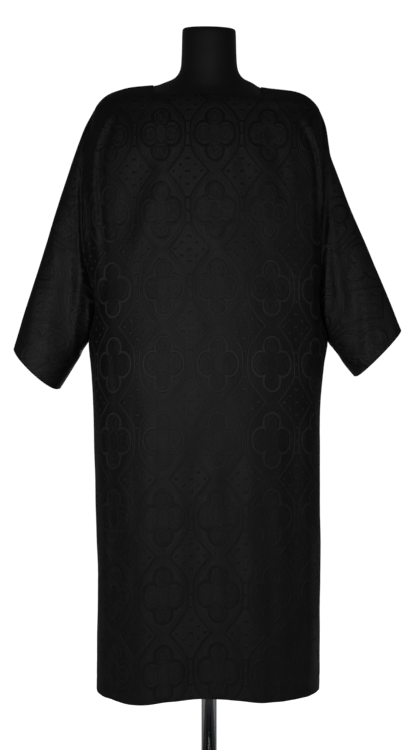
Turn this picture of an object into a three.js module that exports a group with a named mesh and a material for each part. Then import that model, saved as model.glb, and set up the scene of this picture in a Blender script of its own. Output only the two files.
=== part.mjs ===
// A dalmatic of black damask, worn by a limbless dress form on a round-based stand.
// Millimetres, Z up, the floor at Z = 0, the front towards -Y. Heights on the garment are drops, as a
// tailor measures them: how far a point lies below the neck end of the shoulder seam.
import * as THREE from "three";

// Driving dimensions
const SHOULDER_HEIGHT = 1560; // neck end of the shoulder seam above the floor
const CLOTH_WALL = 2; // damask with its turned edges
const SEAM_GAP = 0.4; // between two pieces along a seam
const REST_GAP = 0.5; // between the cloth and the form's shoulders
const SHOULDER_TIP_DROP = 52; // where the sleeve seam crosses the top of the shoulder
const UNDERARM_DROP = 535;
const HEM_DROP = 1261;
const SLEEVE_BLEND = 45; // length over which a sleeve leaves the shape of its armhole
const SLEEVE_FLATNESS = 0.62; // 1 is a round sleeve, less is flatter in front and behind
const NECK_CAP_RISE = 1; // crown of the neck's slanted top
const POLE_RADIUS = 16;
const POLE_CLEARANCE = 0.5; // round the pole in its two sockets
const FORM_SOCKET_DEPTH = 60;
const BASE_RADIUS = 190;
const BASE_RIM = 8;
const BASE_CROWN = 13; // height of the disc where it meets the boss
const BOSS_RADIUS = 27;
const BOSS_HEIGHT = 52;
const BASE_SOCKET_FLOOR = 18;

// Plain colours of the solids
const CLOTH_COLOUR = 0x17171a;
const FORM_COLOUR = 0x1c1b1c;
const STAND_COLOUR = 0x9a9c9f;

// Grid sizes
const SHOULDER_DROPS = [0, 4, 10, 20, 35]; // rows from the neckline to the shoulder tip
const ARMHOLE_STEPS = 14; // rows from the shoulder tip to the underarm
const SKIRT_STEPS = 10; // rows from the underarm to the hem
// Columns of the cloth by their angle round a section, closer together in the armhole folds
const FRONT_ANGLES = [0, 7.5, 15, 22.5, 30, 38, 46, 53, 58, 62, 66, 72, 80, 90];
const BACK_ANGLES = [0, 10, 20, 30, 40, 50, 60, 70, 80, 90];
// The part of the sleeve's length at each ring
const SLEEVE_RINGS = [0, 0.02, 0.05, 0.085, 0.125, 0.175, 0.24, 0.31, 0.39, 0.47, 0.56, 0.65, 0.74, 0.83,
  0.92, 1];
const POLE_SIDES = 32;
const BASE_SIDES = 48;

// Sections of the body. left and right are half widths, front and back the depths of the middle,
// frontDrop and backDrop its drops. Between the shoulder and the underarm the half width is that of the
// armhole seam.
const BODY_SECTIONS = [
  { drop: 0, left: 118, right: 110, front: 72, frontDrop: 36, back: 62, backDrop: 14 },
  { drop: 4, left: 160, right: 130, front: 75, frontDrop: 39, back: 65, backDrop: 17 },
  { drop: 10, left: 185, right: 172, front: 80, frontDrop: 43, back: 70, backDrop: 22 },
  { drop: 20, left: 210, right: 199, front: 86, frontDrop: 50, back: 78, backDrop: 30 },
  { drop: 35, left: 229, right: 219, front: 93, frontDrop: 60, back: 87, backDrop: 43 },
  { drop: 52, left: 240, right: 231, front: 98, frontDrop: 70, back: 95, backDrop: 58 },
  { drop: 76, left: 243, right: 233, front: 107, frontDrop: 90, back: 102, backDrop: 81 },
  { drop: 104, left: 247, right: 235, front: 115, frontDrop: 114, back: 107, backDrop: 107 },
  { drop: 142, left: 254, right: 237, front: 123, frontDrop: 148, back: 111, backDrop: 144 },
  { drop: 188, left: 259, right: 238, front: 130, frontDrop: 191, back: 114, backDrop: 189 },
  { drop: 240, left: 262, right: 237, front: 136, frontDrop: 241, back: 116, backDrop: 240 },
  { drop: 345, left: 258, right: 231, front: 146, frontDrop: 345, back: 119, backDrop: 345 },
  { drop: 441, left: 238, right: 228, front: 154, frontDrop: 441, back: 124, backDrop: 441 },
  { drop: 482, left: 237, right: 231, front: 157, frontDrop: 482, back: 127, backDrop: 482 },
  { drop: 535, left: 251, right: 248, front: 161, frontDrop: 535, back: 131, backDrop: 535 },
  { drop: 590, left: 247, right: 240, front: 164, frontDrop: 590, back: 135, backDrop: 590 },
  { drop: 670, left: 242, right: 232, front: 167, frontDrop: 669, back: 139, backDrop: 670 },
  { drop: 830, left: 237, right: 231, front: 170, frontDrop: 827, back: 145, backDrop: 829 },
  { drop: 1020, left: 232, right: 232, front: 171, frontDrop: 1014, back: 149, backDrop: 1017 },
  { drop: 1261, left: 234, right: 229, front: 172, frontDrop: 1251, back: 154, backDrop: 1256 },
];

// How deep the armhole seam lies before and behind the middle of the body's side.
const ARMHOLE_SEAM = [
  { drop: 52, front: 0, back: 0 },
  { drop: 76, front: 23, back: 18 },
  { drop: 104, front: 39, back: 28 },
  { drop: 142, front: 51, back: 35 },
  { drop: 188, front: 57, back: 39 },
  { drop: 240, front: 59, back: 41 },
  { drop: 345, front: 57, back: 39 },
  { drop: 441, front: 42, back: 30 },
  { drop: 482, front: 30, back: 23 },
  { drop: 535, front: 0, back: 0 },
];

// Half widths of the body without the play of its seams, which only moves the cloth beside them.
const STEADY_WIDTHS = [
  { drop: 52, left: 240, right: 231 },
  { drop: 142, left: 246, right: 234 },
  { drop: 300, left: 250, right: 236 },
  { drop: 590, left: 246, right: 237 },
  { drop: 1020, left: 234, right: 232 },
  { drop: 1261, left: 234, right: 229 },
];

// How far the neckline and the hem lie below their even curves, by the distance across from the middle.
const NECK_PLAY_DEPTH = 35; // how far down the neckline's play reaches
const NECK_LINE = [
  { x: -118, front: 0, back: 0 },
  { x: -92, front: 3, back: 0 },
  { x: -40, front: -1, back: 0 },
  { x: 20, front: 0, back: 0 },
  { x: 54, front: 2, back: 1 },
  { x: 92, front: 6, back: 3 },
  { x: 110, front: 4, back: 4 },
];
const HEM_LINE = [
  { x: -235, front: 0, back: 0 },
  { x: -205, front: 8, back: 3 },
  { x: -155, front: 15, back: 6 },
  { x: -80, front: 7, back: -2 },
  { x: 0, front: 0, back: 3 },
  { x: 60, front: 4, back: 7 },
  { x: 111, front: 9, back: 5 },
  { x: 180, front: 6, back: 6 },
  { x: 227, front: 0, back: 0 },
];

// How square the sections are: 2 is an ellipse, more is squarer. The neckline is cut nearly square.
const SQUARENESS = [
  { drop: 0, frontLeft: 4.2, frontRight: 7, back: 3.6 },
  { drop: 4, frontLeft: 3.3, frontRight: 5, back: 3.0 },
  { drop: 10, frontLeft: 2.8, frontRight: 3.6, back: 2.7 },
  { drop: 20, frontLeft: 2.5, frontRight: 2.8, back: 2.5 },
  { drop: 52, frontLeft: 2.2, frontRight: 2.2, back: 2.2 },
  { drop: 240, frontLeft: 2.1, frontRight: 2.1, back: 2.1 },
  { drop: 441, frontLeft: 2.3, frontRight: 2.3, back: 2.2 },
  { drop: 590, frontLeft: 2.7, frontRight: 2.7, back: 2.3 },
  { drop: 830, frontLeft: 3.0, frontRight: 3.0, back: 2.5 },
  { drop: 1261, frontLeft: 3.0, frontRight: 3.0, back: 2.5 },
];

// The sleeves. top is the folded upper edge and low the underarm seam, each by its distance out from the
// middle of the body and its drop; sag is how far the middle of a ring hangs beyond its ends.
const LEFT_SLEEVE = [
  { along: 0, topOut: 240, topDrop: 52, lowOut: 251, lowDrop: 535, front: 46, back: 42, sag: 0 },
  { along: 0.05, topOut: 252, topDrop: 76, lowOut: 253, lowDrop: 540, front: 62, back: 50, sag: 1 },
  { along: 0.15, topOut: 272, topDrop: 127, lowOut: 259, lowDrop: 549, front: 66, back: 56, sag: 3 },
  { along: 0.25, topOut: 290, topDrop: 180, lowOut: 265, lowDrop: 558, front: 67, back: 59, sag: 4 },
  { along: 0.4, topOut: 317, topDrop: 262, lowOut: 271, lowDrop: 571, front: 69, back: 61, sag: 4 },
  { along: 0.6, topOut: 347, topDrop: 362, lowOut: 284, lowDrop: 592, front: 71, back: 64, sag: 5 },
  { along: 0.8, topOut: 380, topDrop: 466, lowOut: 299, lowDrop: 616, front: 74, back: 67, sag: 7 },
  { along: 1, topOut: 406, topDrop: 552, lowOut: 314, lowDrop: 639, front: 76, back: 70, sag: 9 },
];
const RIGHT_SLEEVE = [
  { along: 0, topOut: 231, topDrop: 52, lowOut: 248, lowDrop: 535, front: 46, back: 42, sag: 0 },
  { along: 0.05, topOut: 240, topDrop: 76, lowOut: 249, lowDrop: 539, front: 61, back: 50, sag: 1 },
  { along: 0.15, topOut: 248, topDrop: 124, lowOut: 255, lowDrop: 548, front: 64, back: 56, sag: 3 },
  { along: 0.2, topOut: 252, topDrop: 148, lowOut: 259, lowDrop: 552, front: 65, back: 58, sag: 3 },
  { along: 0.25, topOut: 262, topDrop: 176, lowOut: 262, lowDrop: 556, front: 66, back: 59, sag: 3 },
  { along: 0.4, topOut: 292, topDrop: 255, lowOut: 271, lowDrop: 567, front: 68, back: 61, sag: 3 },
  { along: 0.6, topOut: 333, topDrop: 351, lowOut: 282, lowDrop: 584, front: 70, back: 64, sag: 3 },
  { along: 0.8, topOut: 372, topDrop: 444, lowOut: 294, lowDrop: 599, front: 73, back: 67, sag: 2 },
  { along: 1, topOut: 401, topDrop: 516, lowOut: 306, lowDrop: 613, front: 75, back: 70, sag: 2 },
];

// The largest folds, each along a curve through three points of x and drop. rise is the height of a
// ridge, below nought for a trough, and reach its width to one side.
const BODY_FOLDS = [
  { side: "front", x1: -190, drop1: 50, x2: -233, drop2: 160, x3: -222, drop3: 380, rise: 5, reach: 11 },
  { side: "front", x1: -184, drop1: 70, x2: -222, drop2: 180, x3: -208, drop3: 420, rise: -5, reach: 15 },
  { side: "front", x1: -236, drop1: 90, x2: -253, drop2: 200, x3: -226, drop3: 470, rise: -5, reach: 12 },
  { side: "front", x1: 160, drop1: 56, x2: 219, drop2: 175, x3: 226, drop3: 440, rise: -6, reach: 14 },
  { side: "front", x1: 238, drop1: 130, x2: 242, drop2: 260, x3: 232, drop3: 480, rise: -4, reach: 13 },
  { side: "front", x1: 176, drop1: 54, x2: 226, drop2: 160, x3: 233, drop3: 330, rise: 5, reach: 12 },
  { side: "front", x1: -112, drop1: 150, x2: -150, drop2: 260, x3: -190, drop3: 360, rise: -5, reach: 36 },
  { side: "front", x1: 98, drop1: 75, x2: 134, drop2: 165, x3: 166, drop3: 275, rise: -4, reach: 36 },
  { side: "front", x1: -186, drop1: 560, x2: -188, drop2: 900, x3: -190, drop3: 1300, rise: -5, reach: 32 },
  { side: "front", x1: -119, drop1: 620, x2: -121, drop2: 960, x3: -124, drop3: 1300, rise: 5, reach: 42 },
  { side: "front", x1: -26, drop1: 680, x2: -26, drop2: 980, x3: -28, drop3: 1300, rise: -4, reach: 40 },
  { side: "front", x1: 84, drop1: 600, x2: 86, drop2: 950, x3: 90, drop3: 1300, rise: 4, reach: 40 },
  { side: "front", x1: 170, drop1: 560, x2: 170, drop2: 900, x3: 172, drop3: 1300, rise: -5, reach: 36 },
  { side: "back", x1: -205, drop1: 90, x2: -224, drop2: 200, x3: -214, drop3: 350, rise: -8, reach: 16 },
  { side: "back", x1: 196, drop1: 84, x2: 214, drop2: 180, x3: 212, drop3: 340, rise: -8, reach: 16 },
  { side: "back", x1: -80, drop1: 110, x2: -118, drop2: 230, x3: -160, drop3: 350, rise: -5, reach: 34 },
  { side: "back", x1: 92, drop1: 100, x2: 124, drop2: 210, x3: 158, drop3: 320, rise: -5, reach: 32 },
  { side: "back", x1: -150, drop1: 560, x2: -154, drop2: 900, x3: -160, drop3: 1300, rise: -7, reach: 40 },
  { side: "back", x1: -62, drop1: 480, x2: -66, drop2: 860, x3: -72, drop3: 1300, rise: 8, reach: 44 },
  { side: "back", x1: 30, drop1: 600, x2: 30, drop2: 900, x3: 28, drop3: 1300, rise: -6, reach: 40 },
  { side: "back", x1: 120, drop1: 520, x2: 126, drop2: 900, x3: 132, drop3: 1300, rise: 7, reach: 42 },
];
const LEFT_SLEEVE_FOLDS = [
  { side: "front", x1: 262, drop1: 170, x2: 262, drop2: 360, x3: 282, drop3: 570, rise: 4, reach: 20 },
  { side: "front", x1: 300, drop1: 230, x2: 292, drop2: 410, x3: 312, drop3: 600, rise: -6, reach: 36 },
  { side: "back", x1: 300, drop1: 330, x2: 318, drop2: 450, x3: 345, drop3: 610, rise: -7, reach: 24 },
];
const RIGHT_SLEEVE_FOLDS = [
  { side: "front", x1: 250, drop1: 250, x2: 259, drop2: 371, x3: 278, drop3: 510, rise: 5, reach: 17 },
  { side: "front", x1: 286, drop1: 330, x2: 293, drop2: 440, x3: 304, drop3: 590, rise: -4, reach: 22 },
  { side: "back", x1: 290, drop1: 300, x2: 312, drop2: 430, x3: 344, drop3: 590, rise: -7, reach: 24 },
];

// The form, under the shoulders of the cloth and above them. The columns are those of the body.
const NECK_SECTIONS = [
  { drop: -118, left: 56, right: 56, front: 58, frontDrop: -106, back: 58, backDrop: -123 },
  { drop: -88, left: 57, right: 57, front: 58, frontDrop: -80, back: 58, backDrop: -89 },
  { drop: -55, left: 58, right: 58, front: 58, frontDrop: -46, back: 58, backDrop: -50 },
  { drop: -30, left: 61, right: 61, front: 58, frontDrop: -18, back: 58, backDrop: -24 },
  { drop: -14, left: 72, right: 71, front: 59, frontDrop: 2, back: 58, backDrop: -8 },
  { drop: -4, left: 94, right: 90, front: 61, frontDrop: 18, back: 59, backDrop: 4 },
];
const TORSO_SECTIONS = [
  { drop: 78, left: 235, right: 226, front: 101, frontDrop: 88, back: 97, backDrop: 80 },
  { drop: 112, left: 233, right: 224, front: 107, frontDrop: 118, back: 101, backDrop: 112 },
  { drop: 150, left: 224, right: 216, front: 112, frontDrop: 154, back: 103, backDrop: 150 },
  { drop: 196, left: 205, right: 199, front: 117, frontDrop: 198, back: 104, backDrop: 196 },
  { drop: 250, left: 188, right: 184, front: 119, frontDrop: 252, back: 103, backDrop: 250 },
  { drop: 330, left: 170, right: 168, front: 115, frontDrop: 330, back: 98, backDrop: 330 },
  { drop: 410, left: 160, right: 158, front: 107, frontDrop: 410, back: 96, backDrop: 410 },
  { drop: 490, left: 164, right: 162, front: 108, frontDrop: 490, back: 102, backDrop: 490 },
  { drop: 600, left: 178, right: 176, front: 113, frontDrop: 600, back: 115, backDrop: 600 },
  { drop: 700, left: 183, right: 181, front: 112, frontDrop: 700, back: 116, backDrop: 700 },
  { drop: 780, left: 178, right: 176, front: 108, frontDrop: 780, back: 112, backDrop: 780 },
  { drop: 796, left: 171, right: 169, front: 101, frontDrop: 796, back: 105, backDrop: 796 },
  { drop: 800, left: 162, right: 160, front: 93, frontDrop: 800, back: 97, backDrop: 800 },
];

// One row of a table at any value of its leading column, on a smooth curve through the rows.
function smoothRow(table, key, value) {
  const last = table.length - 1;
  let low = 0;
  while (low < last - 1 && value > table[low + 1][key]) low += 1;
  const before = table[Math.max(low - 1, 0)];
  const start = table[low];
  const end = table[low + 1];
  const after = table[Math.min(low + 2, last)];
  const span = end[key] - start[key];
  const t = Math.min(Math.max((value - start[key]) / span, 0), 1);
  const row = {};
  for (const column of Object.keys(start)) {
    const startSlope = (end[column] - before[column]) / (end[key] - before[key]);
    const endSlope = (after[column] - start[column]) / (after[key] - start[key]);
    row[column] = start[column] * (1 + 2 * t) * (1 - t) ** 2
      + end[column] * (3 - 2 * t) * t ** 2
      + span * (startSlope * t * (1 - t) ** 2 - endSlope * (1 - t) * t ** 2);
  }
  return row;
}

function smoothStep(value) {
  const t = Math.min(Math.max(value, 0), 1);
  return t * t * (3 - 2 * t);
}

// The height that one fold adds at a point of the cloth seen square on.
function foldHeight(fold, x, drop) {
  const steps = 16;
  let nearest = Infinity;
  let place = 0;
  for (let i = 0; i <= steps; i += 1) {
    const t = i / steps;
    const a = (1 - t) * (1 - 2 * t);
    const b = 4 * t * (1 - t);
    const c = t * (2 * t - 1);
    const away = Math.hypot(x - a * fold.x1 - b * fold.x2 - c * fold.x3,
      (drop - a * fold.drop1 - b * fold.drop2 - c * fold.drop3) * 0.5);
    if (away < nearest) {
      nearest = away;
      place = t;
    }
  }
  const width = Math.min(nearest / fold.reach, 1);
  const ends = smoothStep(place / 0.3) * (fold.drop3 > HEM_DROP ? 1 : smoothStep((1 - place) / 0.3));
  return fold.rise * ends * 0.5 * (1 + Math.cos(Math.PI * width));
}

function foldsAt(folds, x, drop) {
  return folds.reduce((sum, fold) => sum + foldHeight(fold, x, drop), 0);
}

// A point of a section: the angle runs from -90 at the left seam through 0 in the middle to 90.
function sectionPoint(section, square, side, angle, seam = 0, steady = section) {
  const turn = THREE.MathUtils.degToRad(angle);
  const power = 2 / (side === "back" ? square.back : angle < 0 ? square.frontLeft : square.frontRight);
  const outward = Math.abs(angle) === 90 ? 1 : Math.abs(Math.sin(turn)) ** power;
  const middle = Math.abs(angle) === 90 ? 0 : Math.cos(turn) ** power;
  const depth = seam + (section[side] - seam) * middle;
  const drop = section.drop + (section[`${side}Drop`] - section.drop) * middle;
  const width = angle < 0 ? section.left : section.right;
  const even = angle < 0 ? steady.left : steady.right;
  const x = Math.sign(angle) * (even * outward + (width - even) * outward ** 10);
  return { x, depth, drop };
}

function worldPoint(x, depth, drop, side) {
  return new THREE.Vector3(x, side === "front" ? -depth : depth, SHOULDER_HEIGHT - drop);
}

// Places down the armhole as parts of its height, closer together at both ends.
function armholeParts() {
  const steps = [...Array(ARMHOLE_STEPS + 1).keys()];
  return steps.map((step) => (1 - Math.cos(Math.PI * step / ARMHOLE_STEPS)) / 2);
}

function armholeDrops() {
  return armholeParts().map((part) => SHOULDER_TIP_DROP + part * (UNDERARM_DROP - SHOULDER_TIP_DROP));
}

function bodyDrops() {
  const steps = [...Array(SKIRT_STEPS).keys()];
  const skirt = steps.map((step) => UNDERARM_DROP + ((step + 1) / SKIRT_STEPS) * (HEM_DROP - UNDERARM_DROP));
  return [...SHOULDER_DROPS, ...armholeDrops(), ...skirt];
}

function mirroredAngles(angles) {
  return [...angles.slice(1).reverse().map((angle) => -angle), ...angles];
}

// Rows of points of the front or the back, from the neckline down, seen from outside left to right.
function bodyGrid(side, angles) {
  const columns = mirroredAngles(angles);
  const ordered = side === "front" ? columns : columns.reverse();
  const folds = BODY_FOLDS.filter((fold) => fold.side === side);
  return bodyDrops().map((drop) => {
    const seam = smoothRow(ARMHOLE_SEAM, "drop", drop)[side];
    const section = smoothRow(BODY_SECTIONS, "drop", drop);
    const square = smoothRow(SQUARENESS, "drop", drop);
    const steady = drop > SHOULDER_TIP_DROP ? smoothRow(STEADY_WIDTHS, "drop", drop) : section;
    const neckShare = Math.max(1 - drop / NECK_PLAY_DEPTH, 0) ** 2;
    const hemShare = Math.max((drop - UNDERARM_DROP) / (HEM_DROP - UNDERARM_DROP), 0) ** 2;
    return ordered.map((angle) => {
      const point = sectionPoint(section, square, side, angle, seam, steady);
      const rise = Math.abs(angle) === 90 ? 0 : foldsAt(folds, point.x, point.drop);
      const fall = smoothRow(HEM_LINE, "x", point.x)[side] * hemShare
        + smoothRow(NECK_LINE, "x", point.x)[side] * neckShare;
      return worldPoint(point.x, point.depth + rise, point.drop + fall, side);
    });
  });
}

// Rings of points of one sleeve, from the armhole to the cuff, round the front and then the back.
function sleeveGrid(hand, table, folds) {
  const parts = armholeParts();
  const seamDrops = armholeDrops();
  const turns = [];
  for (let i = 0; i < ARMHOLE_STEPS; i += 1) turns.push({ side: "front", step: i });
  for (let i = ARMHOLE_STEPS; i > 0; i -= 1) turns.push({ side: "back", step: i });
  if (hand > 0) turns.reverse();
  const width = hand < 0 ? "left" : "right";
  const cuff = table.at(-1);
  const length = Math.hypot(cuff.topOut - table[0].topOut, cuff.topDrop - table[0].topDrop);
  return SLEEVE_RINGS.map((along) => {
    const ring = smoothRow(table, "along", along);
    const blend = smoothStep(along * length / SLEEVE_BLEND);
    const fall = { out: ring.lowOut - ring.topOut, drop: ring.lowDrop - ring.topDrop };
    const size = Math.hypot(fall.out, fall.drop);
    return turns.map(({ side, step }) => {
      const seamOut = smoothRow(BODY_SECTIONS, "drop", seamDrops[step])[width];
      const seamDepth = smoothRow(ARMHOLE_SEAM, "drop", seamDrops[step])[side];
      const straight = table[0].topOut + parts[step] * (table[0].lowOut - table[0].topOut);
      const bend = (seamOut - straight) * (1 - along) ** 4;
      const round = Math.sin(Math.PI * step / ARMHOLE_STEPS);
      const sag = ring.sag * round * (side === "front" ? 1 : 0.4);
      const out = ring.topOut + fall.out * parts[step] + bend + sag * fall.drop / size;
      const drop = ring.topDrop + fall.drop * parts[step] - sag * fall.out / size;
      const ownFolds = folds.filter((fold) => fold.side === side);
      const rise = foldsAt(ownFolds, out, drop) * blend * smoothStep(round * 2);
      const depth = seamDepth * (1 - blend) + ring[side] * round ** SLEEVE_FLATNESS * blend + rise;
      return worldPoint(hand * out, depth, drop, side);
    });
  });
}

// The two triangles of each cell of a grid, as corners by row and column.
function gridTriangles(rows, columns, closed) {
  const triangles = [];
  for (let r = 0; r < rows - 1; r += 1) {
    for (let c = 0; c < (closed ? columns : columns - 1); c += 1) {
      const next = (c + 1) % columns;
      triangles.push([[r, c], [r + 1, c], [r, next]]);
      triangles.push([[r, next], [r + 1, c], [r + 1, next]]);
    }
  }
  return triangles;
}

function placeKey(point) {
  return `${point.x.toFixed(2)} ${point.y.toFixed(2)} ${point.z.toFixed(2)}`;
}

// The outward direction at every point, shared along the seams so that the pieces match there.
function sharedNormals(grids) {
  const sums = new Map();
  for (const { points, closed } of grids) {
    for (const corners of gridTriangles(points.length, points[0].length, closed)) {
      const [a, b, c] = corners.map(([r, k]) => points[r][k]);
      const face = new THREE.Vector3().subVectors(b, a).cross(new THREE.Vector3().subVectors(c, a));
      for (const point of [a, b, c]) {
        const key = placeKey(point);
        if (!sums.has(key)) sums.set(key, new THREE.Vector3());
        sums.get(key).add(face);
      }
    }
  }
  return (points) => points.map((row) => row.map((point) => sums.get(placeKey(point)).clone().normalize()));
}

// How far a point on a seam is drawn back into its own piece.
function seamPull(before, after, point, inside, normal, distance) {
  const along = new THREE.Vector3().subVectors(after, before).normalize();
  const pull = new THREE.Vector3().subVectors(inside, point);
  pull.addScaledVector(along, -pull.dot(along));
  pull.addScaledVector(normal, -pull.dot(normal));
  return pull.normalize().multiplyScalar(distance);
}

function drawBackSides(points, normals) {
  const corners = [SHOULDER_DROPS.length, SHOULDER_DROPS.length + ARMHOLE_STEPS];
  const moved = points.map((row) => row.map((point) => point.clone()));
  const last = points[0].length - 1;
  for (let r = 0; r < points.length; r += 1) {
    const above = Math.max(r - 1, 0);
    const below = Math.min(r + 1, points.length - 1);
    const distance = SEAM_GAP / 2 * (corners.includes(r) ? 1.5 : 1);
    for (const [edge, inside] of [[0, 1], [last, last - 1]]) {
      moved[r][edge].add(seamPull(points[above][edge], points[below][edge], points[r][edge],
        points[r][inside], normals[r][edge], distance));
    }
  }
  return moved;
}

function drawBackFirstRing(points, normals) {
  const moved = points.map((row) => row.map((point) => point.clone()));
  const ring = points[0];
  for (let c = 0; c < ring.length; c += 1) {
    const before = ring[(c + ring.length - 1) % ring.length];
    const after = ring[(c + 1) % ring.length];
    moved[0][c].add(seamPull(before, after, ring[c], points[1][c], normals[0][c], SEAM_GAP / 2));
  }
  return moved;
}

function offsetInward(points, normals, distance) {
  const moved = (point, normal) => point.clone().addScaledVector(normal, -distance);
  return points.map((row, r) => row.map((point, c) => moved(point, normals[r][c])));
}

function meshOf(name, positions, indices, colour, roughness) {
  const geometry = new THREE.BufferGeometry();
  geometry.setAttribute("position", new THREE.Float32BufferAttribute(positions, 3));
  geometry.setIndex(indices);
  geometry.computeVertexNormals();
  const material = new THREE.MeshStandardMaterial({ color: colour, roughness, metalness: 0 });
  material.name = `${name}_material`;
  const mesh = new THREE.Mesh(geometry, material);
  mesh.name = name;
  return mesh;
}

// A piece of cloth: the outer points, the inner points one wall in, and the walls that join their rims.
function clothMesh(name, outer, normals, closed) {
  const inner = offsetInward(outer, normals, CLOTH_WALL);
  const rows = outer.length;
  const columns = outer[0].length;
  const positions = [...outer.flat(), ...inner.flat()].flatMap((point) => point.toArray());
  const place = (r, c, layer) => layer * rows * columns + r * columns + c;
  const indices = [];
  for (const corners of gridTriangles(rows, columns, closed)) {
    const [a, b, c] = corners;
    indices.push(place(...a, 0), place(...b, 0), place(...c, 0));
    indices.push(place(...a, 1), place(...c, 1), place(...b, 1));
  }
  const rim = (r1, c1, r2, c2) => {
    indices.push(place(r1, c1, 0), place(r2, c2, 0), place(r1, c1, 1));
    indices.push(place(r2, c2, 0), place(r2, c2, 1), place(r1, c1, 1));
  };
  for (let c = 0; c < (closed ? columns : columns - 1); c += 1) {
    const next = (c + 1) % columns;
    rim(0, c, 0, next);
    rim(rows - 1, next, rows - 1, c);
  }
  for (let r = 0; r < rows - 1 && !closed; r += 1) {
    rim(r + 1, 0, r, 0);
    rim(r, columns - 1, r + 1, columns - 1);
  }
  return meshOf(name, positions, indices, CLOTH_COLOUR, 0.85);
}

// A solid skinned over closed rings from one end to the other, each end closed to a middle point.
function ringSolid(name, rings, firstMiddle, lastMiddle, colour, roughness) {
  const columns = rings[0].length;
  const positions = [...rings.flat(), firstMiddle, lastMiddle].flatMap((point) => point.toArray());
  const place = ([r, c]) => r * columns + c;
  const indices = gridTriangles(rings.length, columns, true).flatMap((corners) => corners.map(place));
  const first = rings.length * columns;
  for (let c = 0; c < columns; c += 1) {
    const next = (c + 1) % columns;
    indices.push(first, c, next);
    indices.push(first + 1, place([rings.length - 1, next]), place([rings.length - 1, c]));
  }
  return meshOf(name, positions, indices, colour, roughness);
}

function roundRing(radius, height, sides) {
  return Array.from({ length: sides }, (_, i) => {
    const turn = 2 * Math.PI * i / sides;
    return new THREE.Vector3(radius * Math.cos(turn), radius * Math.sin(turn), height);
  });
}

// A ring of the form, round the front and then the back, with its points under those of the cloth.
function formRing(section, square) {
  const front = mirroredAngles(FRONT_ANGLES).slice(0, -1);
  const back = mirroredAngles(BACK_ANGLES).reverse().slice(0, -1);
  const place = (side) => (angle) => {
    const point = sectionPoint(section, square, side, angle);
    return worldPoint(point.x, point.depth, point.drop, side);
  };
  return [...front.map(place("front")), ...back.map(place("back"))];
}

function socketRing(drop) {
  const radius = POLE_RADIUS + POLE_CLEARANCE;
  const round = { frontLeft: 2, frontRight: 2, back: 2 };
  return formRing({ drop, left: radius, right: radius, front: radius, frontDrop: drop, back: radius,
    backDrop: drop }, round);
}

function dressForm(front, back, frontNormals, backNormals) {
  const shoulderRows = [0, 1, 2, 3, 4, 5];
  const frontUnder = offsetInward(front, frontNormals, CLOTH_WALL + REST_GAP);
  const backUnder = offsetInward(back, backNormals, CLOTH_WALL + REST_GAP);
  const round = { frontLeft: 2, frontRight: 2, back: 2 };
  const full = { frontLeft: 2.25, frontRight: 2.25, back: 2.25 };
  const bottom = TORSO_SECTIONS.at(-1).drop;
  const rings = [
    ...NECK_SECTIONS.map((section) => formRing(section, round)),
    ...shoulderRows.map((r) => [...frontUnder[r].slice(0, -1), ...backUnder[r].slice(0, -1)]),
    ...TORSO_SECTIONS.map((section) => formRing(section, full)),
    socketRing(bottom),
    socketRing(bottom - FORM_SOCKET_DEPTH),
  ];
  const top = worldPoint(0, 0, NECK_SECTIONS[0].drop - NECK_CAP_RISE, "front");
  const end = worldPoint(0, 0, bottom - FORM_SOCKET_DEPTH, "front");
  return ringSolid("form_torso", rings, top, end, FORM_COLOUR, 0.7);
}

function standPole() {
  const top = SHOULDER_HEIGHT - TORSO_SECTIONS.at(-1).drop + FORM_SOCKET_DEPTH - POLE_CLEARANCE;
  const foot = BASE_SOCKET_FLOOR + POLE_CLEARANCE;
  const rings = [
    roundRing(POLE_RADIUS - 1, top, POLE_SIDES),
    roundRing(POLE_RADIUS, top - 1, POLE_SIDES),
    roundRing(POLE_RADIUS, foot, POLE_SIDES),
  ];
  const ends = [new THREE.Vector3(0, 0, top), new THREE.Vector3(0, 0, foot)];
  return ringSolid("stand_pole", rings, ...ends, STAND_COLOUR, 0.3);
}

function standBase() {
  const socket = POLE_RADIUS + POLE_CLEARANCE;
  const profile = [
    { radius: socket, height: BASE_SOCKET_FLOOR },
    { radius: socket, height: BOSS_HEIGHT },
    { radius: BOSS_RADIUS - 2, height: BOSS_HEIGHT },
    { radius: BOSS_RADIUS, height: BOSS_HEIGHT - 2 },
    { radius: BOSS_RADIUS, height: BASE_CROWN + 6 },
    { radius: BOSS_RADIUS + 8, height: BASE_CROWN },
    { radius: BASE_RADIUS - 5, height: BASE_RIM },
    { radius: BASE_RADIUS, height: BASE_RIM - 3 },
    { radius: BASE_RADIUS, height: 0 },
  ];
  const rings = profile.map(({ radius, height }) => roundRing(radius, height, BASE_SIDES));
  const ends = [new THREE.Vector3(0, 0, BASE_SOCKET_FLOOR), new THREE.Vector3(0, 0, 0)];
  return ringSolid("stand_base", rings, ...ends, STAND_COLOUR, 0.3);
}

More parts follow.
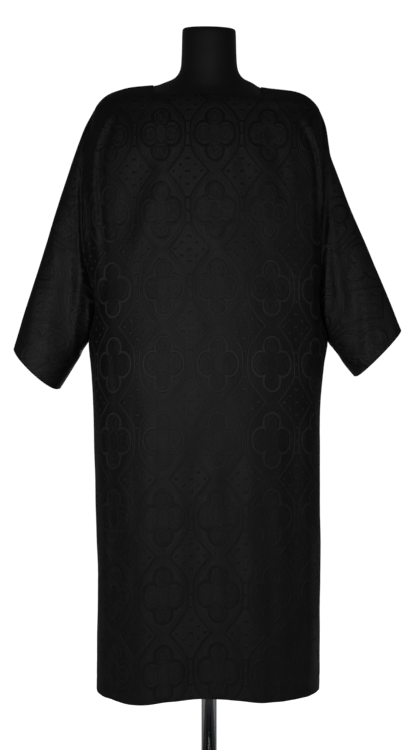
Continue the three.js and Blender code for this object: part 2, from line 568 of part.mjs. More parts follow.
function dalmatic() {
  const front = bodyGrid("front", FRONT_ANGLES);
  const back = bodyGrid("back", BACK_ANGLES);
  const left = sleeveGrid(-1, LEFT_SLEEVE, LEFT_SLEEVE_FOLDS);
  const right = sleeveGrid(1, RIGHT_SLEEVE, RIGHT_SLEEVE_FOLDS);
  const normalsOf = sharedNormals([
    { points: front, closed: false },
    { points: back, closed: false },
    { points: left, closed: true },
    { points: right, closed: true },
  ]);
  const group = new THREE.Group();
  group.name = "dalmatic_on_dress_form";
  const frontNormals = normalsOf(front);
  const backNormals = normalsOf(back);
  const leftNormals = normalsOf(left);
  const rightNormals = normalsOf(right);
  group.add(clothMesh("front_panel", drawBackSides(front, frontNormals), frontNormals, false));
  group.add(clothMesh("back_panel", drawBackSides(back, backNormals), backNormals, false));
  group.add(clothMesh("sleeve_left", drawBackFirstRing(left, leftNormals), leftNormals, true));
  group.add(clothMesh("sleeve_right", drawBackFirstRing(right, rightNormals), rightNormals, true));
  group.add(dressForm(front, back, frontNormals, backNormals));
  group.add(standPole());
  group.add(standBase());
  return group;
}

export default dalmatic();
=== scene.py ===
# A dalmatic of black damask, worn by a limbless dress form on a round-based stand.
# Metres, Z up, the floor at Z = 0, the front towards -Y. The garment's tables are in millimetres.
import math

import bpy
import numpy as np
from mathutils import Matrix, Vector

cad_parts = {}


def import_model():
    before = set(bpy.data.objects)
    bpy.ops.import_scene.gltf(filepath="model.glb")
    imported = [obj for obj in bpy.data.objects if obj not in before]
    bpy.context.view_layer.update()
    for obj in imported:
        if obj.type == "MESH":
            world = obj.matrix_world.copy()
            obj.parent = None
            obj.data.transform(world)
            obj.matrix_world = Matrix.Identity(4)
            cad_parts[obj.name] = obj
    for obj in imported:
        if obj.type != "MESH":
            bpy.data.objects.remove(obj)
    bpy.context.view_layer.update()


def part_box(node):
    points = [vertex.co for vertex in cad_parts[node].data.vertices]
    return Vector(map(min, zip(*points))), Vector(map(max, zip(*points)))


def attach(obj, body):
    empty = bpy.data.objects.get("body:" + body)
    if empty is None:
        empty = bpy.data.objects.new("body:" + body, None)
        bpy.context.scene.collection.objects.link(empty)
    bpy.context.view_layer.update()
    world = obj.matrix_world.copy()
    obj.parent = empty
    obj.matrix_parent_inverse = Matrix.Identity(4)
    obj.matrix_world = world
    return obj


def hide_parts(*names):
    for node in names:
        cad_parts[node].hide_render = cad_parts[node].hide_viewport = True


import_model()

bl_info = {
    "name": "Dalmatic on a dress form",
    "version": (1, 0, 0),
    "blender": (4, 5, 0),
    "location": "View3D > Sidebar > Dalmatic",
    "description": "Builds a damask dalmatic, the dress form that wears it and its stand",
    "category": "Object",
}

MM = 0.001
DAMASK_NAME = "woven_silk_damask"
CLOTH_MAP = "cloth"  # the UV map that holds the places on the flat cloth
SIDES = ("front", "back")

# Heights on the garment are drops: how far a point lies below the neck end of the shoulder seam.
SHOULDER_HEIGHT = 1560
SHOULDER_TIP_DROP = 52  # where the sleeve seam crosses the top of the shoulder
UNDERARM_DROP = 535
HEM_DROP = 1261
SLEEVE_BLEND = 45  # length over which a sleeve leaves the shape of its armhole
SLEEVE_FLATNESS = 0.62  # 1 is a round sleeve, less is flatter in front and behind
SLEEVE_BEND_POWER = 4  # how fast a sleeve leaves the play of its armhole
SAG_SHARES = {"front": 1, "back": 0.4}  # how much of its sag a sleeve's ring has on each side
CHEST_STRETCH = 0.05  # how much longer the cloth is drawn over the chest
CHEST_LEAN = 6  # how far the figure stands askew there
CHEST_END = 480  # drop at which this drawing ends
CHEST_FADE = 260  # length over which it grows
YOKE_DROP = 150  # above it the flat places follow the cloth's own width less and less
LEAST_CLIMB = 0.5  # least length of cloth between two rows, as a share of their drops' difference
SEAM_PLAY_POWER = 10  # how close to the side seams their play stays


def table(names, rows):
    """The columns of a table of sizes, by name."""
    return dict(zip(names.split(), np.array(rows, dtype=float).T))


# Sections of the body. left and right are half widths, front and back the depths of the middle, and
# front_drop and back_drop its drops.
BODY_SECTIONS = table("drop left right front front_drop back back_drop", [
    (0, 118, 110, 72, 36, 62, 14), (4, 160, 130, 75, 39, 65, 17), (10, 185, 172, 80, 43, 70, 22),
    (20, 210, 199, 86, 50, 78, 30), (35, 229, 219, 93, 60, 87, 43), (52, 240, 231, 98, 70, 95, 58),
    (76, 243, 233, 107, 90, 102, 81), (104, 247, 235, 115, 114, 107, 107),
    (142, 254, 237, 123, 148, 111, 144), (188, 259, 238, 130, 191, 114, 189),
    (240, 262, 237, 136, 241, 116, 240), (345, 258, 231, 146, 345, 119, 345),
    (441, 238, 228, 154, 441, 124, 441), (482, 237, 231, 157, 482, 127, 482),
    (535, 251, 248, 161, 535, 131, 535), (590, 247, 240, 164, 590, 135, 590),
    (670, 242, 232, 167, 669, 139, 670), (830, 237, 231, 170, 827, 145, 829),
    (1020, 232, 232, 171, 1014, 149, 1017), (1261, 234, 229, 172, 1251, 154, 1256),
])
# How deep the armhole seam lies before and behind the middle of the body's side.
ARMHOLE_SEAM = table("drop front back", [
    (52, 0, 0), (76, 23, 18), (104, 39, 28), (142, 51, 35), (188, 57, 39), (240, 59, 41),
    (345, 57, 39), (441, 42, 30), (482, 30, 23), (535, 0, 0),
])
# Half widths of the body without the play of its seams, which only moves the cloth beside them.
STEADY_WIDTHS = table("drop left right", [
    (52, 240, 231), (142, 246, 234), (300, 250, 236), (590, 246, 237), (1020, 234, 232),
    (1261, 234, 229),
])
NECK_PLAY_DEPTH = 35  # how far down the neckline's play reaches
# How far the neckline and the hem lie below their even curves, by the distance from the middle.
NECK_LINE = table("x front back", [
    (-118, 0, 0), (-92, 3, 0), (-40, -1, 0), (20, 0, 0), (54, 2, 1), (92, 6, 3), (110, 4, 4),
])
HEM_LINE = table("x front back", [
    (-235, 0, 0), (-205, 8, 3), (-155, 15, 6), (-80, 7, -2), (0, 0, 3), (60, 4, 7), (111, 9, 5),
    (180, 6, 6), (227, 0, 0),
])
# How square the sections are: 2 is an ellipse, more is squarer.
SQUARENESS = table("drop front_left front_right back", [
    (0, 4.2, 7, 3.6), (4, 3.3, 5, 3.0), (10, 2.8, 3.6, 2.7), (20, 2.5, 2.8, 2.5),
    (52, 2.2, 2.2, 2.2), (240, 2.1, 2.1, 2.1), (441, 2.3, 2.3, 2.2), (590, 2.7, 2.7, 2.3),
    (830, 3.0, 3.0, 2.5), (1261, 3.0, 3.0, 2.5),
])
# The sleeves: the folded upper edge and the underarm seam, each by its distance out from the middle
# of the body and its drop. sag is how far the middle of a ring hangs beyond its ends.
SLEEVE_COLUMNS = "along top_out top_drop low_out low_drop front back sag"
LEFT_SLEEVE = table(SLEEVE_COLUMNS, [
    (0, 240, 52, 251, 535, 46, 42, 0), (0.05, 252, 76, 253, 540, 62, 50, 1),
    (0.15, 272, 127, 259, 549, 66, 56, 3), (0.25, 290, 180, 265, 558, 67, 59, 4),
    (0.4, 317, 262, 271, 571, 69, 61, 4), (0.6, 347, 362, 284, 592, 71, 64, 5),
    (0.8, 380, 466, 299, 616, 74, 67, 7), (1, 406, 552, 314, 639, 76, 70, 9),
])
RIGHT_SLEEVE = table(SLEEVE_COLUMNS, [
    (0, 231, 52, 248, 535, 46, 42, 0), (0.05, 240, 76, 249, 539, 61, 50, 1),
    (0.15, 248, 124, 255, 548, 64, 56, 3), (0.2, 252, 148, 259, 552, 65, 58, 3),
    (0.25, 262, 176, 262, 556, 66, 59, 3), (0.4, 292, 255, 271, 567, 68, 61, 3),
    (0.6, 333, 351, 282, 584, 70, 64, 3), (0.8, 372, 444, 294, 599, 73, 67, 2),
    (1, 401, 516, 306, 613, 75, 70, 2),
])

# Folds, each its rise, its reach to one side and the points of x and drop that it runs through.
# The first ones of each list are the part's own large folds.
FRONT_FOLDS = [
    (5, 11, (-190, 50), (-233, 160), (-222, 380)),
    (-5, 15, (-184, 70), (-222, 180), (-208, 420)),
    (-5, 12, (-236, 90), (-253, 200), (-226, 470)),
    (-6, 14, (160, 56), (219, 175), (226, 440)),
    (-4, 13, (238, 130), (242, 260), (232, 480)),
    (5, 12, (176, 54), (226, 160), (233, 330)),
    (-5, 36, (-112, 150), (-150, 260), (-190, 360)),
    (-4, 36, (98, 75), (134, 165), (166, 275)),
    (-5, 32, (-186, 560), (-188, 900), (-190, 1300)),
    (5, 42, (-119, 620), (-121, 960), (-124, 1300)),
    (-4, 40, (-26, 680), (-26, 980), (-28, 1300)),
    (4, 40, (84, 600), (86, 950), (90, 1300)),
    (-5, 36, (170, 560), (170, 900), (172, 1300)),
    # Thin folds beside the left armhole
    (2, 9, (-200, 90), (-216, 130), (-222, 190), (-216, 250), (-210, 330)),
    (1.6, 9, (-226, 190), (-240, 230), (-238, 300), (-230, 380)),
    (-2, 12, (-214, 380), (-212, 430), (-220, 500)),
    # Thin folds beside the right armhole
    (-2, 9, (196, 96), (210, 140), (217, 200), (219, 300), (220, 420)),
    (1.6, 8, (212, 110), (224, 160), (230, 230), (229, 320)),
    (2, 14, (212, 340), (214, 400), (215, 470)),
    # Drags over the chest
    (-2, 34, (-146, 140), (-184, 250), (-216, 350)),
    (-1.6, 32, (130, 70), (166, 160), (196, 270)),
    (1.6, 24, (-86, 176), (-124, 270), (-158, 372)),
    (1.6, 22, (124, 84), (160, 172), (188, 290)),
    (-1.6, 26, (-30, 96), (-62, 190), (-98, 300)),
    (-1.4, 24, (44, 92), (66, 180), (92, 270)),
    (1.4, 28, (4, 110), (-8, 200), (-26, 300)),
    # Pulls from the underarms
    (-4, 14, (-243, 528), (-226, 590), (-212, 700)),
    (3, 14, (-226, 500), (-206, 590), (-196, 690)),
    (-4, 14, (240, 526), (222, 590), (208, 690)),
    (3, 14, (222, 505), (203, 585), (192, 660)),
    # Small flutes between the large ones
    (1.6, 26, (10, 640), (14, 960), (16, 1300)),
    (-1.6, 24, (-78, 880), (-79, 1080), (-82, 1300)),
    (2, 16, (-208, 760), (-209, 1000), (-212, 1300)),
    (-1.6, 22, (126, 940), (128, 1100), (131, 1300)),
    (2, 16, (202, 800), (203, 1020), (204, 1300)),
    (1.4, 22, (46, 1060), (48, 1160), (50, 1300)),
]
BACK_FOLDS = [
    (-8, 16, (-205, 90), (-224, 200), (-214, 350)),
    (-8, 16, (196, 84), (214, 180), (212, 340)),
    (-5, 34, (-80, 110), (-118, 230), (-160, 350)),
    (-5, 32, (92, 100), (124, 210), (158, 320)),
    (-7, 40, (-150, 560), (-154, 900), (-160, 1300)),
    (8, 44, (-62, 480), (-66, 860), (-72, 1300)),
    (-6, 40, (30, 600), (30, 900), (28, 1300)),
    (7, 42, (120, 520), (126, 900), (132, 1300)),
    # Thin folds beside the armholes
    (4, 8, (-190, 58), (-216, 98), (-232, 170), (-230, 270), (-222, 350)),
    (-3.5, 8, (-206, 320), (-212, 410), (-232, 500)),
    (4, 8, (184, 56), (208, 96), (222, 170), (221, 262), (214, 330)),
    (-3.5, 8, (200, 310), (206, 400), (224, 498)),
    # Drags between the shoulder blades
    (2.5, 20, (-50, 70), (-30, 150), (-6, 240)),
    (2.5, 20, (58, 66), (42, 150), (20, 230)),
    (-2.5, 16, (4, 60), (6, 140), (8, 220)),
    # Pulls from the underarms
    (-4, 14, (-240, 528), (-222, 600), (-206, 720)),
    (3, 12, (-222, 500), (-200, 590), (-186, 680)),
    (-4, 13, (236, 526), (216, 600), (200, 700)),
    # Small flutes
    (-2.5, 16, (-108, 900), (-112, 1080), (-116, 1300)),
    (3, 14, (-206, 700), (-208, 960), (-211, 1300)),
    (2.5, 18, (-18, 860), (-20, 1060), (-22, 1300)),
    (-2.5, 16, (78, 980), (80, 1120), (82, 1300)),
    (-4, 20, (190, 700), (194, 960), (198, 1300)),
]
LEFT_SLEEVE_FOLDS = {
    "front": [
        (4, 20, (262, 170), (262, 360), (282, 570)),
        (-6, 36, (300, 230), (292, 410), (312, 600)),
        (2, 18, (352, 400), (362, 480), (378, 590)),
        (2, 14, (262, 380), (272, 480), (284, 590)),
    ],
    "back": [
        (-7, 24, (300, 330), (318, 450), (345, 610)),
        (4, 16, (272, 300), (276, 400), (284, 500)),
        (3, 16, (330, 420), (350, 510), (374, 590)),
        (-3, 14, (268, 200), (278, 290), (284, 370)),
    ],
}
RIGHT_SLEEVE_FOLDS = {
    "front": [
        (5, 17, (250, 250), (259, 371), (278, 510)),
        (-4, 22, (286, 330), (293, 440), (304, 590)),
        (3, 20, (316, 400), (322, 490), (330, 600)),
        (-2, 18, (352, 400), (360, 480), (372, 560)),
    ],
    "back": [
        (-7, 24, (290, 300), (312, 430), (344, 590)),
        (4, 16, (262, 280), (268, 380), (276, 480)),
        (3, 16, (318, 370), (342, 470), (364, 550)),
    ],
}

# The form: the cap of its neck, whose slant is how far it slopes down to the front, its neck above
# the cloth, the drops of its shoulders under the cloth and its torso below them
CAP_SECTIONS = table("drop wide deep slant", [
    (-119, 1, 1, 9), (-118.9, 20, 21, 9), (-118.6, 40, 41.5, 9), (-117.8, 50, 52, 9),
    (-115.6, 54.4, 56.4, 9), (-111, 56.2, 58, 8.5),
])
CAP_DEPTH = 58  # depth of the cap's edge, for which its slant is stated
CAP_SLANT_BEHIND = 0.7  # how much of the slant the back has
CAP_TILT_HEIGHT = 40  # where the cap's slope to one side starts, above the shoulders
CAP_TILT_REACH = 80  # and the height over which it grows
NECK_SECTIONS = table("drop left right front front_drop back back_drop", [
    (-118, 56, 56, 58, -106, 58, -123), (-88, 57, 57, 58, -80, 58, -89),
    (-55, 58, 58, 58, -46, 58, -50), (-30, 61, 61, 58, -18, 58, -24), (-14, 72, 71, 59, 2, 58, -8),
    (-4, 94, 90, 61, 18, 59, 4),
])
SHOULDER_DROPS = np.array([0, 4, 10, 20, 35, 52, 58.0])  # the last one only guides the one above it
TORSO_SECTIONS = table("drop left right front front_drop back back_drop", [
    (78, 235, 226, 101, 88, 97, 80), (112, 233, 224, 107, 118, 101, 112),
    (150, 224, 216, 112, 154, 103, 150), (196, 205, 199, 117, 198, 104, 196),
    (250, 188, 184, 119, 252, 103, 250), (330, 170, 168, 115, 330, 98, 330),
    (410, 160, 158, 107, 410, 96, 410), (490, 164, 162, 108, 490, 102, 490),
    (600, 178, 176, 113, 600, 115, 600), (700, 183, 181, 112, 700, 116, 700),
    (780, 178, 176, 108, 780, 112, 780), (796, 171, 169, 101, 796, 105, 796),
    (800, 162, 160, 93, 800, 97, 800),
])
FORM_COLUMNS = 65  # points of half a ring
FORM_STEP = 7  # about how far apart the rings lie
NECK_SQUARENESS = 2.0
TORSO_SQUARENESS = 2.25
BOARD_SHARES = (0.985, 0.8, 0.5)  # rings of the board that closes the form below
SOCKET_HEIGHT = 60
POLE_RADIUS = 16
POLE_PLAY = 0.5  # room between the pole and what it stands in

# How the folds and the slight waves of hanging cloth are drawn
FOLD_PLACES = 61  # places worked out along each fold
FOLD_MARGIN = 2  # beyond a fold's reach, left alone
FOLD_SLIMNESS = 0.5  # how much distances down the cloth count beside those across it
FOLD_END = 0.3  # share of a fold over which each of its ends fades
FOLD_UNEVENNESS = 0.22  # how much a fold's height changes along it
FOLD_WAVE = 9  # how fast it changes
FOLD_START = 0.1  # and how much its start differs from fold to fold
FOLD_FADE = 12  # length over which folds grow from a seam
# The slight waves, each by its lengths across and up the cloth and its height
DRIFT_WAVES = ((143, 310, 0.5), (89, -205, 0.4), (61, 540, 0.3), (37, 170, 0.16), (211, 96, 0.22))
DRIFT_FADE = 60  # length over which the waves grow from an edge
WAVE_START = {"front": 0.7, "back": 2.3}  # so that no two pieces wave alike
SLEEVE_WAVE_START = 1.9
SLEEVE_PUCKER_START = 0.4

# How the cloth lies beside its seams and edges
EDGE_STEPS = np.array([0.2, 0.9, 2.0, 3.6, 6.0])  # columns close to a seam, so that it can roll in
EDGE_REACH = 9.5  # where the even columns start
SEAM_ROLL = 0.9  # how far the cloth dips at a seam
SEAM_ROLL_REACH = 4.0
PUCKER_HEIGHT = 0.55
PUCKER_REACH = 14  # length over which the puckers fade
PUCKER_START = 2.5  # length over which they grow from the seam
PUCKER_WAVES = ((3.9, 1, 1), (6.7, 2.1, 0.7), (13.0, -1, 0.5))  # by their length, start and height
STITCH_DIP = 0.35  # how far the cloth dips along the stitches of a turned edge
STITCH_DIP_REACH = 2.2
TURNED_EDGE_FADE = 2  # length over which the turned edge ends
RIM_BULGE = 0.45  # how far a rim stands out, as a share of the cloth's thickness

# The grids of the pieces. The last rows of the body are given by their distance from the hem.
SHOULDER_ROWS, ARMHOLE_ROWS, SKIRT_ROWS = 20, 126, 104
SHOULDER_ROW_POWER = 1.3  # more sets the shoulder's rows closer at the neck
HEM_ROWS = np.array([5, 3, 1.6, 0.7, 0])
BODY_COLUMNS = 149
SLEEVE_RINGS = 84
SLEEVE_STEPS = 84  # from the upper edge to the underarm
SLEEVE_GIRTH = 960  # rough length round the armhole, for its puckers
DENSE_STEPS = 300  # from the middle of a section to a seam
DENSE_POWER = 2.2  # more sets the angles closer at the middle
LATHE_SIDES = 128


def linear_colour(text):
    """The linear colour of an sRGB hex value."""
    channels = [int(text[i:i + 2], 16) / 255 for i in (1, 3, 5)]
    return tuple(c / 12.92 if c <= 0.04045 else ((c + 0.055) / 1.055) ** 2.4 for c in channels)


def smooth_curve(steps, rows, values):
    """Values between the rows of a table, or points between rings, on smooth curves."""
    def wide(numbers):
        return numbers.reshape(numbers.shape + (1,) * (rows.ndim - 1))

    low = np.clip(np.searchsorted(steps, values) - 1, 0, len(steps) - 2)
    before, after = np.maximum(low - 1, 0), np.minimum(low + 2, len(steps) - 1)
    span = wide(steps[low + 1] - steps[low])
    t = np.clip(wide(values - steps[low]) / span, 0, 1)
    start, end = rows[low], rows[low + 1]
    start_slope = (end - rows[before]) / wide(steps[low + 1] - steps[before])
    end_slope = (rows[after] - start) / wide(steps[after] - steps[low])
    return (start * (1 + 2 * t) * (1 - t) ** 2 + end * (3 - 2 * t) * t ** 2
            + span * (start_slope * t * (1 - t) ** 2 - end_slope * (1 - t) * t ** 2))


def smooth_row(sizes, key, values):
    """Every column of a table at the given places of its leading column."""
    return {name: smooth_curve(sizes[key], column, values) for name, column in sizes.items()}


def smooth_step(values):
    """An even rise from nought to one."""
    t = np.clip(values, 0, 1)
    return t * t * (3 - 2 * t)


def fold_heights(folds, x, drop):
    """The height that the folds add at points of the cloth seen square on."""
    total = np.zeros_like(x)
    places = np.linspace(0, 1, FOLD_PLACES)
    for rise, reach, *points in folds:
        knots = np.array(points, dtype=float)
        route = table("t x drop", np.column_stack((np.linspace(0, 1, len(knots)), knots)))
        line = smooth_row(route, "t", places)
        margin = np.array((1, 1 / FOLD_SLIMNESS)) * (reach + FOLD_MARGIN)
        least, most = knots.min(axis=0) - margin, knots.max(axis=0) + margin
        near = (x > least[0]) & (x < most[0]) & (drop > least[1]) & (drop < most[1])
        away = np.hypot(x[near][:, None] - line["x"],
                        (drop[near][:, None] - line["drop"]) * FOLD_SLIMNESS)
        nearest = away.argmin(axis=1)
        place = places[nearest]
        width = np.minimum(away[np.arange(len(nearest)), nearest] / reach, 1)
        ends = smooth_step(place / FOLD_END)
        if knots[-1, 1] <= HEM_DROP:
            ends = ends * smooth_step((1 - place) / FOLD_END)
        uneven = 1 + FOLD_UNEVENNESS * np.sin(FOLD_WAVE * place + knots[0, 0] * FOLD_START)
        total[near] += rise * ends * uneven * 0.5 * (1 + np.cos(math.pi * width))
    return total


def drift(across, along, phase):
    """Slight waviness of hanging cloth, from a few long waves that don't repeat together."""
    return sum(size * np.sin(2 * math.pi * (across / a + along / b) + phase * (i + 1))
               for i, (a, b, size) in enumerate(DRIFT_WAVES))


def section_points(side, sizes, square, angle, seam=0.0, steady=None):
    """Points of sections by their angle from -90 at the left seam through 0 in the middle to 90."""
    steady = steady or sizes
    left = angle < 0
    front_power = np.where(left, square["front_left"], square["front_right"])
    power = 2 / (square["back"] if side == "back" else front_power)
    turn = np.radians(np.abs(angle))
    outward = np.sin(turn) ** power
    middle = np.maximum(np.cos(turn), 0) ** power
    depth = seam + (sizes[side] - seam) * middle
    drop = sizes["drop"] + (sizes[side + "_drop"] - sizes["drop"]) * middle
    even = np.where(left, steady["left"], steady["right"])
    width = np.where(left, sizes["left"], sizes["right"])
    x = np.sign(angle) * (even * outward + (width - even) * outward ** SEAM_PLAY_POWER)
    return np.stack(np.broadcast_arrays(x, depth, drop), axis=-1)


def path_lengths(points):
    """Lengths along each row of points from its first one."""
    steps = np.linalg.norm(np.diff(points, axis=1), axis=2)
    return np.concatenate((np.zeros((len(points), 1)), np.cumsum(steps, axis=1)), axis=1)


def even_sections(side, sizes, square, places, seam=0.0, steady=None):
    """Points of sections at places given as lengths from the middle of each, and the places."""
    spread = np.linspace(-1, 1, 2 * DENSE_STEPS + 1)
    dense = 90 * np.sign(spread) * np.abs(spread) ** DENSE_POWER
    curves = section_points(side, sizes, square, dense[None, :], seam, steady)
    lengths = path_lengths(curves)
    lengths -= lengths[:, DENSE_STEPS:DENSE_STEPS + 1]
    targets = places(-lengths[:, :1], lengths[:, -1:])
    angles = np.array([np.interp(row, known, dense) for row, known in zip(targets, lengths)])
    return section_points(side, sizes, square, angles, seam, steady), targets


def world(points, side):
    """Points of x, depth and drop in millimetres, as points of the scene in metres."""
    y = points[..., 1] * (-1 if side == "front" else 1)
    return np.stack((points[..., 0], y, SHOULDER_HEIGHT - points[..., 2]), axis=-1) * MM


def outward_normals(points, middles, closed):
    """The outward direction at each point of a grid, away from the given middles."""
    if closed:
        around = np.roll(points, -1, axis=1) - np.roll(points, 1, axis=1)
    else:
        around = np.gradient(points, axis=1)
    normals = np.cross(around, np.gradient(points, axis=0))
    normals /= np.maximum(np.linalg.norm(normals, axis=2, keepdims=True), 1e-12)
    if np.mean(np.sum(normals * (points - middles), axis=2)) < 0:
        normals = -normals
    return normals


def grid_quads(rows, columns, closed):
    """Rows and columns of the four corners of each cell of a grid."""
    spans = columns if closed else columns - 1
    r, c = np.meshgrid(np.arange(rows - 1), np.arange(spans), indexing="ij")
    corner_rows = np.stack((r, r + 1, r + 1, r), axis=-1).reshape(-1, 4)
    corner_columns = np.stack((c, c, c + 1, c + 1), axis=-1).reshape(-1, 4)
    return corner_rows, corner_columns


def rim_routes(rows, columns, closed):
    """The closed routes round the rims of a grid, as rows and columns of their points."""
    across, down = np.arange(columns), np.arange(rows)
    if closed:
        back_to_start = np.append(across, columns)
        return [(np.zeros(columns + 1, int), back_to_start),
                (np.full(columns + 1, rows - 1), back_to_start[::-1])]
    route_rows = np.concatenate((np.zeros(columns - 1, int), down[:-1],
                                 np.full(columns - 1, rows - 1), down[:0:-1], [0]))
    route_columns = np.concatenate((across[:-1], np.full(rows - 1, columns - 1), across[:0:-1],
                                    np.zeros(rows - 1, int), [0]))
    return [(route_rows, route_columns)]


def new_piece(name, vertices, faces, material, corner_places=None):
    """A smooth mesh object at the origin, with its places on the flat cloth as its UV map."""
    mesh = bpy.data.meshes.new(name)
    mesh.from_pydata(vertices.tolist(), [], faces)
    if corner_places is not None:
        layer = mesh.uv_layers.new(name=CLOTH_MAP)
        layer.data.foreach_set("uv", corner_places.reshape(-1))
    mesh.materials.append(material)
    mesh.shade_smooth()
    mesh.validate()
    piece = bpy.data.objects.new(name, mesh)
    bpy.context.scene.collection.objects.link(piece)
    return piece


def cloth_shell(name, outer, walls, flat_places, normals, closed, material):
    """A thin closed shell of cloth: outer points, inner points a wall in, and rounded rims."""
    rows, columns = outer.shape[:2]
    inner = outer - normals * walls[..., None]
    corner_rows, corner_columns = grid_quads(rows, columns, closed)
    first_face = [outer[corner_rows[0, k], corner_columns[0, k]] for k in range(3)]
    facing = np.cross(first_face[1] - first_face[0], first_face[2] - first_face[1])
    turned = np.dot(facing, normals[0, 0]) < 0
    quads = corner_rows * columns + corner_columns % columns
    count = rows * columns
    vertices = [outer.reshape(-1, 3), inner.reshape(-1, 3)]
    faces = [quads, quads[:, ::-1] + count]
    places = flat_places[corner_rows, corner_columns]
    corner_places = [places, places[:, ::-1]]
    start = 2 * count
    for route_rows, route_columns in rim_routes(rows, columns, closed):
        here = route_rows[:-1], route_columns[:-1] % columns
        inside_column = here[1] if closed else np.clip(here[1], 1, columns - 2)
        inside = np.clip(here[0], 1, rows - 2), inside_column
        outward = outer[here] - outer[inside]
        outward /= np.linalg.norm(outward, axis=1, keepdims=True)
        bulge = outward * walls[here][:, None] * RIM_BULGE
        vertices.append((outer[here] + inner[here]) / 2 + bulge)
        rim = here[0] * columns + here[1]
        edge = start + np.arange(len(rim))
        following = np.roll(np.arange(len(rim)), -1)
        rim_places = flat_places[route_rows, route_columns]
        pair = np.stack((rim_places[:-1], rim_places[1:], rim_places[1:], rim_places[:-1]), axis=1)
        faces.append(np.column_stack((rim, rim[following], edge[following], edge)))
        faces.append(np.column_stack((edge, edge[following], rim[following] + count, rim + count)))
        corner_places += [pair, pair]
        start += len(rim)
    faces, corner_places = np.concatenate(faces), np.concatenate(corner_places)
    if turned:
        faces, corner_places = faces[:, ::-1], corner_places[:, ::-1]
    return new_piece(name, np.concatenate(vertices), faces.tolist(), material, corner_places)


def edge_dip(distance):
    """How far the cloth dips beside a seam."""
    return SEAM_ROLL * np.clip(1 - distance / SEAM_ROLL_REACH, 0, 1) ** 2


def pucker(distance, along, phase):
    """The small puckers that the stitches of a seam draw in the cloth beside it."""
    fade = np.exp(-distance / PUCKER_REACH) * (1 - np.exp(-distance / PUCKER_START))
    ripple = sum(size * np.sin(along / length + start * phase)
                 for length, start, size in PUCKER_WAVES)
    return PUCKER_HEIGHT * fade * ripple


def stitch_dip(from_edge, cloth):
    """How far the cloth dips along the stitches that hold its turned edge."""
    away = (from_edge - cloth.turned_edge / MM) / STITCH_DIP_REACH
    return STITCH_DIP * np.exp(-away ** 2)


def wall_thickness(cloth, from_edge):
    """The cloth, thicker where its edge is turned in."""
    turned = 1 - smooth_step((from_edge - cloth.turned_edge / MM) / TURNED_EDGE_FADE)
    return cloth.wall + cloth.wall * turned


def body_drops():
    """The drops of the body's rows, close together at the neck and at the hem."""
    shoulder = np.linspace(0, 1, SHOULDER_ROWS, endpoint=False) ** SHOULDER_ROW_POWER
    armhole = np.linspace(SHOULDER_TIP_DROP, UNDERARM_DROP, ARMHOLE_ROWS, endpoint=False)
    skirt = np.linspace(UNDERARM_DROP, HEM_DROP - HEM_ROWS[0], SKIRT_ROWS)
    return np.concatenate((shoulder * SHOULDER_TIP_DROP, armhole, skirt, HEM_DROP - HEM_ROWS[1:]))


def body_rows(drops):
    """The sizes, squareness, armhole seam and steady widths of the rows at the given drops."""
    drops = drops[:, None]
    sizes = smooth_row(BODY_SECTIONS, "drop", drops)
    square = smooth_row(SQUARENESS, "drop", drops)
    seam = smooth_row(ARMHOLE_SEAM, "drop", drops)
    even = smooth_row(STEADY_WIDTHS, "drop", drops)
    steady = {hand: np.where(drops > SHOULDER_TIP_DROP, even[hand], sizes[hand])
              for hand in ("left", "right")}
    return sizes, square, seam, steady


def neck_fall(side, x, level):
    """How far the neckline's play lowers the cloth at places across and down from the neck."""
    fade = np.clip(1 - level / NECK_PLAY_DEPTH, 0, None) ** 2
    return smooth_row(NECK_LINE, "x", x)[side] * fade


def panel_columns(left, right):
    """Lengths from the middle at which a panel has its columns, closer together at its seams."""
    inner = np.linspace(-1, 1, BODY_COLUMNS)[None, :]
    middle = np.where(inner < 0, inner * (left - EDGE_REACH), inner * (right - EDGE_REACH))
    edges = EDGE_STEPS[None, :] - left, right - EDGE_STEPS[None, ::-1]
    return np.concatenate((edges[0], middle, edges[1]), axis=1)


